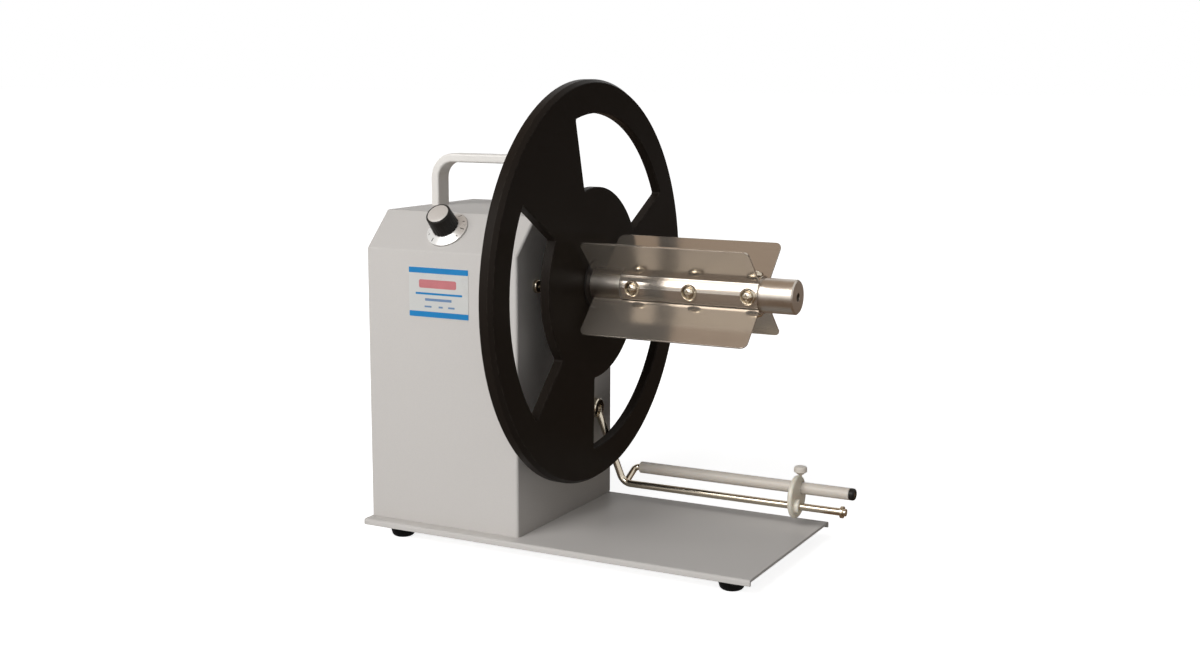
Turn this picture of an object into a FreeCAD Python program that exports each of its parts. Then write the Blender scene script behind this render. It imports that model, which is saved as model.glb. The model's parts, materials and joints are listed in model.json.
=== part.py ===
import FreeCAD, Part
import math
import os

# Motorised label rewinder standing on a bench. +X runs along the spindle, away from the
# housing, +Y goes to the back and +Z up. X = 0 is the middle of the overall length, Y = 0 the
# spindle's axis and Z = 0 the surface that it stands on. All sizes are in millimetres.

# Housing, folded from sheet
sheet = 1.5
fold_radius = 1.6
housing_width = 105.0
housing_depth = 120.5
housing_above_spindle = 41.2
slope_run = 21.8
slope_rise = 21.6
housing_flange = 12.0

# Base plate and feet
base_sheet = 1.5
base_lip = 3.6
base_fold_radius = 1.5
base_reach = 150.8
base_front_margin = 8.7
foot_height = 11.0
foot_top_radius = 9.5
foot_bottom_radius = 6.5
foot_edge_radius = 3.0
foot_end_inset = 17.5
foot_side_inset = 17.0

# Carry handle, a flat bar with rounded edges
handle_span = 91.0
handle_rise = 33.1
handle_bar = 5.5
handle_depth = 13.0
handle_edge_radius = 1.2
handle_bend = 13.0
handle_setback = 66.7

# Screws: shank radius, head radius, head height
m4_shank = 2.0
m4_head = 4.0
m4_head_height = 2.6
m4_length = 8.0
m3_shank = 1.5
m3_head = 2.75
m3_head_height = 2.0
m3_length = 6.0
hole_clearance = 0.25
recess_width = 0.9
recess_depth = 1.2
recess_span = 0.55
head_rounding = 0.45
base_screw_inset = 32.0
handle_screw_length = 10.0

# How far a cut runs past the face that it leaves through
past = 1.0

# Plain sticker on the front
label_width = 41.6
label_height = 26.5
label_thickness = 0.25
label_corner = 3.0
label_from_right = 32.8
label_below_crease = 11.4

# Spindle: places along it are measured from the housing's right face
spindle_setback = 51.5
spindle_radius = 10.0
spindle_tip = 152.6
tip_thread_radius = 2.5
tip_thread_depth = 16.0
tip_chamfer = 0.8
end_relief_width = 1.5
end_relief_depth = 0.4
journal_radius = 7.5
spindle_shoulder_gap = 0.3
running_clearance = 0.05

# Flange disc
disc_radius = 120.5
disc_thickness = 6.1
disc_front = 24.9
disc_lip = 2.0
disc_lip_width = 7.0
disc_base_gap = 27.3
disc_front_chamfer = 1.9
disc_front_bevel = 2.7
disc_back_chamfer = 0.5
window_count = 3
window_angle = 76.0
window_inner_radius = 57.5
window_outer_radius = 100.8
window_corner_radius = 1.2
window_chamfer = 0.5
first_window = 23.4

# Hub that carries the disc
hub_nose_radius = 15.5
hub_nose_reach = 1.0
hub_nose_chamfer = 0.6
hub_flange_radius = 25.0
hub_flange_thickness = 6.0
hub_boss_radius = 16.0
hub_boss_start = 3.0
hub_screw_circle = 20.5
hub_screw_count = 4
set_screw_radius = 2.5
set_screw_length = 4.3

# Core wings: sheets with a saddle on the spindle and one radial wing each
wing_sheet = 1.0
wing_tip_radius = 38.0
wing_start = 27.5
wing_end = 132.5
saddle_start = 45.5
saddle_end = 132.0
saddle_half_angle = 38.0
wing_lean = 45.0
saddle_clearance = 0.05
inner_bend = 1.0
outer_bend = 0.8
wing_corner_radius = 4.0
wing_screw_first = 54.1
wing_screw_pitch = 36.25
wing_screw_count = 3
wing_screw_depth = 6.5
wing_screw_tip_gap = 0.2
cup_radius = 4.8
cup_height = 1.5
cup_rim = 0.5
cup_lip_height = 0.6
cup_floor = 0.75
cup_inner_gap = 0.7
dome_radius = 3.1
dome_height = 2.6
dome_foot_gap = 0.1
dome_shoulder_radius = 2.325
dome_shoulder_height = 2.21
dome_crown_radius = 1.24
dome_recess_arm = 1.86

# Bearings and their housing
bearing_outer_radius = 16.0
bearing_width = 9.0
bearing_groove = 0.4
front_bearing = 3.0
bearing_spacing = 4.0
bearing_body_radius = 22.0
bearing_body_end = 26.0
bearing_spigot_radius = 19.0
bearing_flange_radius = 35.0
bearing_flange_thickness = 5.0
bearing_screw_circle = 29.0
bearing_screw_count = 4

# Gears
gear_module = 1.25
gear_teeth = 54
pinion_teeth = 18
gear_width = 9.0
pinion_width = 10.0
gear_start = 29.0
gear_hub_radius = 12.0
gear_hub_length = 6.0
pressure_angle = 20.0
backlash = 0.25
circlip_width = 1.0
circlip_radius = 10.5
circlip_gap = 0.3
circlip_groove = 0.8
spindle_tail = 1.8

# Gearmotor and its bracket
bracket_start = 42.0
bracket_sheet = 3.0
bracket_width = 48.0
bracket_below_spindle = 15.5
bracket_foot = 22.0
gearbox_radius = 18.5
gearbox_length = 24.0
gearbox_offset = 7.0
gearbox_boss_radius = 6.0
gearbox_boss_length = 5.0
motor_radius = 16.75
motor_end_gap = 7.0
motor_edge_radius = 2.0
motor_lug = 2.0
motor_lug_width = 2.4
motor_lug_sheet = 0.8
output_radius = 3.0
output_flat = 0.5
output_tail = 12.0
gearbox_screw_circle = 15.5

# Speed knob on the sloped panel, heights above the panel
knob_from_right = 54.4
knob_setback = 12.0
skirt_radius = 12.9
skirt_rim_height = 0.8
skirt_height = 3.0
skirt_top_radius = 9.2
skirt_gap = 0.4
skirt_cavity_radius = 6.6
skirt_cavity_roof = 2.7
skirt_land = 0.3
knob_foot_radius = 8.2
knob_top_radius = 7.7
knob_height = 15.0
knob_rim = 1.2
knob_edge_radius = 0.5
flute_count = 18
flute_radius = 0.8
flute_sink = 0.36
flute_end = 1.6
knob_cap_depth = 1.0
knob_cap_crown = 0.5
knob_cap_shoulder = 0.75
knob_cap_shoulder_rise = 0.3
knob_cap_flat = 0.4
pot_radius = 8.5
pot_depth = 10.0
pot_bushing_radius = 3.5
pot_bushing_height = 2.4
pot_shaft_radius = 3.0
pot_shaft_top = 12.0
pot_nut_flats = 10.0
pot_nut_height = 2.0
pot_lug_count = 3
pot_lug_pitch = 5.0
pot_lug_length = 5.0
pot_lug_width = 2.0
pot_lug_sheet = 0.6
pot_floor = 2.0
pot_shaft_gap = 0.5

# Tension arm: heights above the base plate, places along +Y from the pivot
pivot_from_back = 26.0
pivot_height = 61.4
pivot_radius = 4.0
arm_hub_radius = 6.25
arm_hub_start = 1.3
arm_hub_end = 5.3
arm_hub_socket = 2.4
arm_hub_lip = 1.6
arm_hub_chamfer = 0.6
rod_radius = 2.25
rod_behind_pivot = 0.9
rod_height = 14.3
rod_end = 170.0
leg_disc_clearance = 0.8
leg_top_shift = 0.0
leg_bend = 8.0
link_radius = 2.0
link_past_foot = 2.2
link_bend = 3.2
link_lean = 0.8
link_root_rise = 1.0
axle_radius = 1.8
axle_recess = 0.4
sleeve_gap = 0.5
roller_behind_pivot = 12.7
roller_height = 22.7
roller_radius = 3.7
roller_past_link = 4.4
roller_end = 168.2
roller_edge_radius = 0.6
collar_radius = 3.6
collar_width = 1.6
collar_inset = 1.6
cap_gap = 0.3
cap_width = 3.2
cap_edge_radius = 1.6

# Guide disc and its thumb screw
guide_radius = 13.0
guide_thickness = 3.2
guide_edge_radius = 1.2
guide_place = 136.5
guide_rod_clearance = 0.1
guide_roller_clearance = 0.35
guide_boss_radius = 4.2
guide_boss_length = 3.0
thumb_shank_radius = 1.0
thumb_tip_gap = 0.4
thumb_neck_radius = 2.0
thumb_seat_gap = 0.3
thumb_neck_height = 0.6
thumb_neck_flare = 0.5
thumb_head_slope = 1.0
thumb_head_radius = 4.0
thumb_head_height = 4.4
thumb_edge_radius = 1.4

# Pivot inside the housing
pivot_boss_radius = 11.0
pivot_boss_length = 14.0
bush_wall = 1.0
bush_flange_radius = 6.2
bush_flange = 1.0
bush_length = 6.0
vane_hub_radius = 7.0
vane_hub_length = 5.0
vane_radius = 17.0
vane_sheet = 1.0
vane_half_angle = 20.0
vane_gap = 0.5
clip_radius = 6.0
clip_width = 1.0
clip_groove = 0.6
pivot_shaft_tail = 2.0

# Slotted sensor and its bracket
sensor_slot = 3.6
sensor_leg = 4.0
sensor_depth = 12.0
sensor_floor = 4.0
sensor_overlap = 8.0
sensor_floor_gap = 2.0
sensor_tab = 3.2
sensor_bracket_foot = 14.0

# Control board on the rear cover
board_left_gap = 15.0
board_height = 62.0
board_sheet = 1.6
board_from_right = 30.0
board_bottom = 14.0
standoff_height = 8.0
standoff_flats = 6.0
standoff_inset = 4.0
standoff_pin = 1.5
standoff_head = 2.6
standoff_head_height = 1.2
sink_gap = 3.0
sink_height = 28.0
sink_depth = 20.0
sink_base = 4.0
sink_fin_count = 7
sink_fin = 1.4
sink_inset = 6.0
capacitor_radius = 5.0
capacitor_length = 16.0
capacitor_edge_radius = 0.8
capacitor_pitch = 14.0
capacitor_inset = 16.0
capacitor_bottom = 20.0
terminal_inset = 10.0
terminal_height = 9.0
terminal_depth = 10.0
terminal_ways = 8
terminal_screw_radius = 1.6
terminal_screw_depth = 3.0
terminal_screw_rise = 1.5
terminal_gap = 1.0

# Rear cover, its switch and its inlet
cover_margin = 0.5
cover_screw_inset = 7.5
cover_screw_end = 16.5
vent_count = 6
vent_width = 3.0
vent_length = 44.0
vent_pitch = 8.0
vent_bottom = 82.0
vent_from_right = 62.0
cover_hole_clearance = 0.1
switch_height = 21.0
switch_width = 15.0
switch_bezel = 1.5
switch_body_height = 18.8
switch_body_width = 12.6
switch_depth = 16.0
switch_from_right = 52.5
switch_below_top = 33.0
switch_cavity_height = 16.0
switch_cavity_width = 10.5
switch_cavity_depth = 9.0
switch_edge_radius = 0.8
switch_lug_width = 4.8
switch_lug_length = 7.0
switch_lug_sheet = 0.8
switch_lug_offset = 5.0
rocker_pin_depth = 1.0
rocker_pin_end_gap = 0.15
rocker_back = 3.0
rocker_clearance = 0.3
rocker_tilt = 11.0
rocker_pin_radius = 1.0
rocker_pin_length = 0.75
rocker_crest = 2.6
rocker_dip = 1.4
jack_from_right = 24.0
jack_centre = 112.0
jack_flange_radius = 7.0
jack_flange = 2.0
jack_thread_radius = 5.5
jack_depth = 13.0
jack_bore_radius = 2.85
jack_bore_depth = 10.0
jack_pin_radius = 1.0
jack_pin_recess = 1.0
jack_nut_flats = 14.0
jack_nut_height = 2.5
jack_lug_width = 2.0
jack_lug_length = 4.0
jack_lug_sheet = 0.6
jack_lug_offset = 2.5

# Wiring inside the housing
wire_radius = 0.9
cable_radius = 1.4
wire_bend = 6.0
sensor_lead_rise = 5.0
cable_bend = 3.5
lead_rise = 10.0
lead_step = 2.0
wire_lug_gap = 0.4

# Places worked out from the sizes
spindle_height = disc_radius + disc_base_gap
housing_height = spindle_height + housing_above_spindle
overall_length = housing_width + roller_end + cap_gap + cap_width
left_x = -overall_length / 2
face_x = left_x + housing_width
middle_x = (left_x + face_x) / 2
front_y = -spindle_setback
back_y = front_y + housing_depth
base_top = foot_height + base_sheet
top_z = base_top + housing_height
crease_z = top_z - slope_rise
spindle_z = base_top + spindle_height
slope_angle = math.degrees(math.atan2(slope_rise, slope_run))
disc_back = disc_front - disc_thickness
lip_back = disc_back - disc_lip
cover_inner_y = back_y - sheet
gear_radius = gear_module * gear_teeth / 2
pinion_radius = gear_module * pinion_teeth / 2
output_z = spindle_z - gear_radius - pinion_radius
gearbox_z = output_z - gearbox_offset
bracket_back = bracket_start + bracket_sheet
motor_length = housing_width - bracket_back - gearbox_length - motor_end_gap
pivot_y = back_y - pivot_from_back
pivot_z = base_top + pivot_height
rod_y = pivot_y + rod_behind_pivot
rod_z = base_top + rod_height
leg_top_x = face_x + (arm_hub_start + arm_hub_end) / 2 - leg_top_shift
edge_run = face_x + lip_back - leg_top_x
edge_drop = pivot_z - spindle_z + math.sqrt(disc_radius ** 2 - rod_y ** 2)
leg_slope = (math.atan2(edge_drop, edge_run)
             + math.asin((rod_radius + leg_disc_clearance) / math.hypot(edge_run, edge_drop)))
leg_foot_x = leg_top_x + (pivot_z - rod_z) / math.tan(leg_slope)
link_x = leg_foot_x + link_past_foot
roller_start = link_x + roller_past_link - face_x
roller_y = pivot_y + roller_behind_pivot
roller_z = base_top + roller_height
board_front_y = cover_inner_y - standoff_height - board_sheet
board_right_x = face_x - board_from_right
board_left_x = left_x + board_left_gap
board_low_z = base_top + board_bottom
capacitor_x = board_right_x - capacitor_inset
terminal_width = board_right_x - board_left_x - 2 * terminal_inset
vane_x = face_x - sheet - pivot_boss_length - bush_flange - vane_gap - vane_hub_length

X = FreeCAD.Vector(1, 0, 0)
Y = FreeCAD.Vector(0, 1, 0)
Z = FreeCAD.Vector(0, 0, 1)


def at(x, y, z):
    return FreeCAD.Vector(x, y, z)


def block(x0, x1, y0, y1, z0, z1):
    """Box between two corners."""
    return Part.makeBox(x1 - x0, y1 - y0, z1 - z0, at(x0, y0, z0))


def rod_along_x(radius, x0, x1, y=0.0, z=spindle_z):
    return Part.makeCylinder(radius, x1 - x0, at(x0, y, z), X)


def rod_along_y(radius, y0, y1, x, z):
    return Part.makeCylinder(radius, y1 - y0, at(x, y0, z), Y)


def rod_along_z(radius, z0, z1, x, y):
    return Part.makeCylinder(radius, z1 - z0, at(x, y, z0), Z)


def moved(shape, x=0.0, y=0.0, z=0.0):
    copy = shape.copy()
    copy.translate(at(x, y, z))
    return copy


def turned(shape, centre, axis, angle):
    copy = shape.copy()
    copy.rotate(centre, axis, angle)
    return copy


def fused(shapes):
    """One solid from pieces that touch or overlap."""
    whole = shapes[0]
    for shape in shapes[1:]:
        whole = whole.fuse(shape)
    return whole.removeSplitter()


def spun(points, centre=None, axis=Z):
    """Solid of revolution about Z from (radius, height) points, laid along an axis."""
    corners = [at(radius, 0, height) for radius, height in points]
    face = Part.Face(Part.makePolygon(corners + corners[:1]))
    solid = face.revolve(at(0, 0, 0), Z, 360)
    return laid(solid, centre or at(0, 0, 0), axis)


def laid(solid, centre, axis):
    """The solid with its own Z turned to the axis and its origin moved to the centre."""
    copy = solid.copy()
    copy.Placement = FreeCAD.Placement(centre, FreeCAD.Rotation(Z, axis)).multiply(copy.Placement)
    return copy


def hexagon(flats, height, centre, axis):
    """Hexagonal prism standing on its centre along an axis."""
    radius = flats / math.sqrt(3)
    corners = [at(radius * math.cos(math.radians(60 * side)),
                  radius * math.sin(math.radians(60 * side)), 0) for side in range(7)]
    prism = Part.Face(Part.makePolygon(corners)).extrude(at(0, 0, height))
    return laid(prism, centre, axis)


def side_prism(points, x0, x1):
    """Prism along X over an outline of (y, z) points."""
    corners = [at(x0, y, z) for y, z in points]
    face = Part.Face(Part.makePolygon(corners + corners[:1]))
    return face.extrude(at(x1 - x0, 0, 0))


def edges_where(shape, test):
    """Edges whose two ends both pass a test on their place."""
    return [edge for edge in shape.Edges
            if len(edge.Vertexes) == 2 and all(test(vertex.Point) for vertex in edge.Vertexes)]


def near(value, target):
    return abs(value - target) < 0.01


def ring_edges(shape, axis_value, radius, centre):
    """Circular edges of one radius on the plane where X has the given value."""
    found = []
    for edge in shape.Edges:
        curve = edge.Curve
        if isinstance(curve, Part.Circle) and near(curve.Radius, radius):
            if near(curve.Center.x, axis_value) and near((curve.Center - centre).dot(Y), 0):
                found.append(edge)
    return found


def bent_path(points, bend):
    """Straight runs between points, joined by tangent arcs of one radius."""
    edges = []
    start = points[0]
    for before, corner, after in zip(points, points[1:], points[2:]):
        back = (before - corner).normalize()
        ahead = (after - corner).normalize()
        half_turn = (math.pi - back.getAngle(ahead)) / 2
        reach = bend * math.tan(half_turn)
        first = corner + back * reach
        last = corner + ahead * reach
        middle = corner + (back + ahead).normalize() * (bend / math.cos(half_turn) - bend)
        edges.append(Part.LineSegment(start, first).toShape())
        edges.append(Part.Arc(first, middle, last).toShape())
        start = last
    edges.append(Part.LineSegment(start, points[-1]).toShape())
    return Part.Wire(edges)


def bent_rod(points, radius, bend):
    """Round bar along a bent path."""
    path = bent_path(points, bend)
    direction = points[1] - points[0]
    circle = Part.Wire([Part.makeCircle(radius, points[0], direction)])
    return path.makePipeShell([circle], True, False)


def pan_screw(shank, head, head_height, length, centre, axis):
    """Pan head screw; its seat is at the centre, and its head points along the axis."""
    shank_solid = Part.makeCylinder(shank, length, at(0, 0, -length))
    head_solid = Part.makeCylinder(head, head_height)
    rim = [edge for edge in head_solid.Edges if near(edge.BoundBox.ZMin, head_height)]
    head_solid = head_solid.makeFillet(head_rounding * head_height, rim)
    floor = head_height - recess_depth
    arm = recess_span * head
    cross = [block(-arm, arm, -recess_width / 2, recess_width / 2, floor, head_height + past),
             block(-recess_width / 2, recess_width / 2, -arm, arm, floor, head_height + past)]
    screw = fused([shank_solid, head_solid]).cut(fused(cross))
    return laid(screw, centre, axis)


def m4_screw(centre, axis):
    return pan_screw(m4_shank, m4_head, m4_head_height, m4_length, centre, axis)


def m3_screw(centre, axis):
    return pan_screw(m3_shank, m3_head, m3_head_height, m3_length, centre, axis)


def circle_places(radius, count, first_angle):
    """(y, z) offsets spaced round a circle, the angle measured from +Y towards +Z."""
    step = 360 / count
    angles = [math.radians(first_angle + step * number) for number in range(count)]
    return [(radius * math.cos(angle), radius * math.sin(angle)) for angle in angles]


def housing_outline(inset, low, back):
    """Side outline of the housing with its walls moved inwards by the inset."""
    lean = math.radians(slope_angle)
    crease = crease_z - inset * (1 - math.sin(lean)) / math.cos(lean)
    shoulder = front_y + slope_run + inset * (1 - math.cos(lean)) / math.sin(lean)
    front = front_y + inset
    top = top_z - inset
    return [(front, low), (front, crease), (shoulder, top), (back, top), (back, low)]


def base_screw_places():
    """Screws through the base plate into the housing's bottom flanges."""
    inset = sheet + housing_flange / 2
    return [(x, y) for x in (left_x + inset, face_x - inset)
            for y in (front_y + base_screw_inset, back_y - base_screw_inset)]


def bracket_screw_places():
    """Screws through the base plate into the feet of the two brackets."""
    foot_x = face_x - bracket_back - bracket_foot / 2
    sensor_x = sensor_upright_x() - sensor_bracket_foot / 2
    places = [(foot_x, side * bracket_width / 3) for side in (-1, 1)]
    return places + [(sensor_x, pivot_y)]


def cover_screw_places():
    """(x, z) of the screws that hold the rear cover."""
    low = base_top + cover_screw_end
    high = top_z - cover_screw_end
    return [(x, z) for x in (left_x + cover_screw_inset, face_x - cover_screw_inset)
            for z in (low, (low + high) / 2, high)]


def bearing_screw_places():
    return circle_places(bearing_screw_circle, bearing_screw_count, 0)


def slope_frame():
    """Placement that stands on the sloped panel at the knob, its Z square to the panel."""
    height = crease_z + knob_setback * slope_rise / slope_run
    centre = at(face_x - knob_from_right, front_y + knob_setback, height)
    return FreeCAD.Placement(centre, FreeCAD.Rotation(X, slope_angle))


def on_slope(shape):
    copy = shape.copy()
    copy.Placement = slope_frame().multiply(copy.Placement)
    return copy


def base_plate():
    """Flat plate with a lip folded down along its front and back edges."""
    right = face_x + base_reach
    front = front_y - base_front_margin
    plate = block(left_x, right, front, back_y, base_top - base_lip, base_top)
    folds = edges_where(plate, lambda p: near(p.z, base_top) and (near(p.y, front) or near(p.y, back_y)))
    folds = [edge for edge in folds if near(edge.BoundBox.YLength, 0)]
    plate = plate.makeFillet(base_fold_radius, folds)
    hollow = block(left_x - past, right + past, front + base_sheet, back_y - base_sheet,
                   base_top - base_lip - past, base_top - base_sheet)
    plate = plate.cut(hollow)
    for x, y in base_screw_places() + bracket_screw_places():
        plate = plate.cut(rod_along_z(m4_shank + hole_clearance, 0, base_top + past, x, y))
    return plate


def rubber_feet():
    """Four round feet with a slanted side and a rounded lower edge."""
    foot = Part.makeCone(foot_bottom_radius, foot_top_radius, foot_height)
    rim = [edge for edge in foot.Edges if near(edge.BoundBox.ZMax, 0)]
    foot = foot.makeFillet(foot_edge_radius, rim)
    ends = (left_x + foot_end_inset, face_x + base_reach - foot_end_inset)
    sides = (front_y - base_front_margin + foot_side_inset, back_y - foot_side_inset)
    return [moved(foot, x, y) for x in ends for y in sides]


def base_screws():
    """Screws from below; their heads bear on the underside of the base plate."""
    seat = base_top - base_sheet
    return [m4_screw(at(x, y, seat), -Z) for x, y in base_screw_places() + bracket_screw_places()]


def housing_shell():
    """Front, sloped panel, top and both sides, with flanges for the base and the rear cover."""
    back = cover_inner_y
    outer = side_prism(housing_outline(0, base_top, back), left_x, face_x)
    folds = [edge for edge in outer.Edges
             if not near(edge.BoundBox.YMin, back) and not near(edge.BoundBox.ZMax, base_top)]
    outer = outer.makeFillet(fold_radius, folds)
    inner = side_prism(housing_outline(sheet, base_top - past, back + past), left_x + sheet, face_x - sheet)
    shell = outer.cut(inner)
    low = base_top + sheet
    inside_left = left_x + sheet
    inside_right = face_x - sheet
    flanges = [
        block(inside_left, inside_left + housing_flange, front_y + sheet, back, base_top, low),
        block(inside_right - housing_flange, inside_right, front_y + sheet, back, base_top, low),
        block(inside_left, inside_right, front_y + sheet, front_y + sheet + housing_flange, base_top, low),
        block(inside_left, inside_left + housing_flange, back - sheet, back, base_top, top_z - sheet),
        block(inside_right - housing_flange, inside_right, back - sheet, back, base_top, top_z - sheet),
        block(inside_left, inside_right, back - sheet, back, top_z - sheet - housing_flange, top_z - sheet)]
    shell = fused([shell] + flanges)
    holes = [rod_along_x(bearing_spigot_radius + running_clearance, face_x - 2 * sheet, face_x + past)]
    holes.append(rod_along_x(pivot_radius + bush_wall, face_x - 2 * sheet, face_x + past, pivot_y, pivot_z))
    for y, z in bearing_screw_places():
        holes.append(rod_along_x(m4_shank + hole_clearance, face_x - 2 * sheet, face_x + past, y,
                                 spindle_z + z))
    for x, y in base_screw_places():
        holes.append(rod_along_z(m4_shank, base_top - past, low + past, x, y))
    for x, z in cover_screw_places():
        holes.append(rod_along_y(m3_shank, back - 2 * sheet, back + past, x, z))
    for x in handle_post_places():
        holes.append(rod_along_z(m3_shank + hole_clearance, top_z - 2 * sheet, top_z + past, x, handle_y()))
    holes.append(on_slope(Part.makeCylinder(pot_bushing_radius + hole_clearance, 3 * sheet,
                                            at(0, 0, -2 * sheet))))
    for hole in holes:
        shell = shell.cut(hole)
    return shell


def rear_cover():
    """Flat cover with vents, a cut-out for the switch and a hole for the inlet."""
    cover = block(left_x + cover_margin, face_x - cover_margin, cover_inner_y, back_y,
                  base_top + cover_margin, top_z - cover_margin)
    holes = [rod_along_y(m3_shank + hole_clearance, cover_inner_y - past, back_y + past, x, z)
             for x, z in cover_screw_places()]
    half_height = switch_body_height / 2 + cover_hole_clearance
    half_width = switch_body_width / 2 + cover_hole_clearance
    x = switch_x()
    z = switch_z()
    holes.append(block(x - half_width, x + half_width, cover_inner_y - past, back_y + past,
                       z - half_height, z + half_height))
    holes.append(rod_along_y(jack_thread_radius + cover_hole_clearance, cover_inner_y - past, back_y + past,
                             jack_x(), jack_z()))
    for x, z in standoff_places():
        holes.append(rod_along_y(standoff_pin, cover_inner_y - past, back_y + past, x, z))
    for number in range(vent_count):
        holes.append(vent_slot(base_top + vent_bottom + number * vent_pitch))
    for hole in holes:
        cover = cover.cut(hole)
    return cover


def vent_slot(z):
    """Slot with round ends, lying level."""
    x = face_x - vent_from_right
    half = (vent_length - vent_width) / 2
    body = block(x - half, x + half, cover_inner_y - past, back_y + past, z - vent_width / 2,
                 z + vent_width / 2)
    ends = [rod_along_y(vent_width / 2, cover_inner_y - past, back_y + past, end, z) for end in (x - half,
                                                                                                 x + half)]
    return fused([body] + ends)


def rear_cover_screws():
    return [m3_screw(at(x, back_y, z), Y) for x, z in cover_screw_places()]


def handle_y():
    return front_y + handle_setback


def handle_post_places():
    offset = (handle_span - handle_bar) / 2
    return [middle_x - offset, middle_x + offset]


def carry_handle():
    """Bar bent to a U, standing on the top of the housing."""
    left, right = handle_post_places()
    high = top_z + handle_rise - handle_bar / 2
    y = handle_y()
    path = bent_path([at(left, y, top_z), at(left, y, high), at(right, y, high), at(right, y, top_z)],
                     handle_bend)
    section = block(left - handle_bar / 2, left + handle_bar / 2, y - handle_depth / 2,
                    y + handle_depth / 2, top_z, top_z + past)
    corners = [edge for edge in section.Edges if near(edge.BoundBox.ZLength, past)]
    section = section.makeFillet(handle_edge_radius, corners)
    foot = [face for face in section.Faces if near(face.BoundBox.ZMax, top_z)][0]
    bar = path.makePipeShell([foot.OuterWire], True, False)
    for x in (left, right):
        bar = bar.cut(rod_along_z(m3_shank, top_z - past, top_z + handle_screw_length, x, y))
    return bar


def handle_screws():
    """Screws from inside the housing up into the handle's posts."""
    seat = top_z - sheet
    return [pan_screw(m3_shank, m3_head, m3_head_height, handle_screw_length, at(x, handle_y(), seat), -Z)
            for x in handle_post_places()]


def front_label():
    """Blank sticker with rounded corners."""
    right = face_x - label_from_right
    high = crease_z - label_below_crease
    sticker = block(right - label_width, right, front_y - label_thickness, front_y,
                    high - label_height, high)
    corners = [edge for edge in sticker.Edges if near(edge.BoundBox.YLength, label_thickness)]
    return sticker.makeFillet(label_corner, corners)


def bearing_housing():
    """Flanged barrel behind the right wall, with a bearing seat at each end."""
    inner = face_x - sheet
    flange = rod_along_x(bearing_flange_radius, inner - bearing_flange_thickness, inner)
    body = rod_along_x(bearing_body_radius, face_x - bearing_body_end, inner)
    spigot = rod_along_x(bearing_spigot_radius, inner, face_x)
    housing = fused([flange, body, spigot])
    rear_seat = face_x - front_bearing - bearing_width - bearing_spacing
    housing = housing.cut(rod_along_x(bearing_outer_radius, rear_seat + bearing_spacing, face_x + past))
    housing = housing.cut(rod_along_x(bearing_outer_radius, face_x - bearing_body_end - past, rear_seat))
    through = (bearing_outer_radius + journal_radius) / 2 + sheet
    housing = housing.cut(rod_along_x(through, rear_seat - past, rear_seat + bearing_spacing + past))
    for y, z in bearing_screw_places():
        housing = housing.cut(rod_along_x(m4_shank, inner - bearing_flange_thickness - past, inner + past,
                                          y, spindle_z + z))
    return housing


def bearing_screws():
    return [m4_screw(at(face_x, y, spindle_z + z), X) for y, z in bearing_screw_places()]


def spindle_bearings():
    """Two deep-groove bearings, each with its rings and shields as one turned solid."""
    low = journal_radius + running_clearance
    ring = (bearing_outer_radius - low) / 4
    half = bearing_width / 2
    shield = half - bearing_groove
    points = [(low, -half), (low + ring, -half), (low + ring, -shield),
              (bearing_outer_radius - ring, -shield),
              (bearing_outer_radius - ring, -half), (bearing_outer_radius, -half),
              (bearing_outer_radius, half), (bearing_outer_radius - ring, half),
              (bearing_outer_radius - ring, shield), (low + ring, shield), (low + ring, half), (low, half)]
    first = face_x - front_bearing - half
    second = first - bearing_width - bearing_spacing
    return [spun(points, at(x, 0, spindle_z), X) for x in (first, second)]


def spindle_gear_back():
    return face_x - gear_start - gear_width - gear_hub_length


def spindle_shaft():
    """Stepped shaft with a tapped, bare end beyond a relief groove, and a groove for a circlip."""
    shoulder = face_x - front_bearing + spindle_shoulder_gap
    tip = face_x + spindle_tip
    clip = spindle_gear_back() - circlip_gap
    tail = clip - circlip_width - spindle_tail
    relief = face_x + saddle_end
    relief_radius = spindle_radius - end_relief_depth
    points = [(0, tail), (journal_radius, tail), (journal_radius, clip - circlip_width),
              (journal_radius - circlip_groove, clip - circlip_width),
              (journal_radius - circlip_groove, clip),
              (journal_radius, clip), (journal_radius, shoulder), (spindle_radius, shoulder),
              (spindle_radius, relief), (relief_radius, relief), (relief_radius, relief + end_relief_width),
              (spindle_radius, relief + end_relief_width), (spindle_radius, tip - tip_chamfer),
              (spindle_radius - tip_chamfer, tip), (0, tip)]
    shaft = spun(points, at(0, 0, spindle_z), X)
    shaft = shaft.cut(rod_along_x(tip_thread_radius, tip - tip_thread_depth, tip + past))
    for centre, axis in wing_screw_seats():
        hole = Part.makeCylinder(m4_shank, 2 * spindle_radius, centre, -axis)
        depth = spindle_radius - wing_screw_depth - wing_screw_tip_gap
        core = rod_along_x(depth, face_x, tip)
        shaft = shaft.cut(hole.cut(core))
    return shaft


def sector(inner, outer, start, sweep, x0, x1):
    """Ring sector along X; angles go from up (+Z) towards the back (+Y)."""
    def point(radius, angle):
        turn = math.radians(angle)
        return at(x0, radius * math.sin(turn), spindle_z + radius * math.cos(turn))
    middle = start + sweep / 2
    end = start + sweep
    edges = [Part.Arc(point(outer, start), point(outer, middle), point(outer, end)).toShape(),
             Part.LineSegment(point(outer, end), point(inner, end)).toShape(),
             Part.Arc(point(inner, end), point(inner, middle), point(inner, start)).toShape(),
             Part.LineSegment(point(inner, start), point(outer, start)).toShape()]
    return Part.Face(Part.Wire(edges)).extrude(at(x1 - x0, 0, 0))


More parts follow.
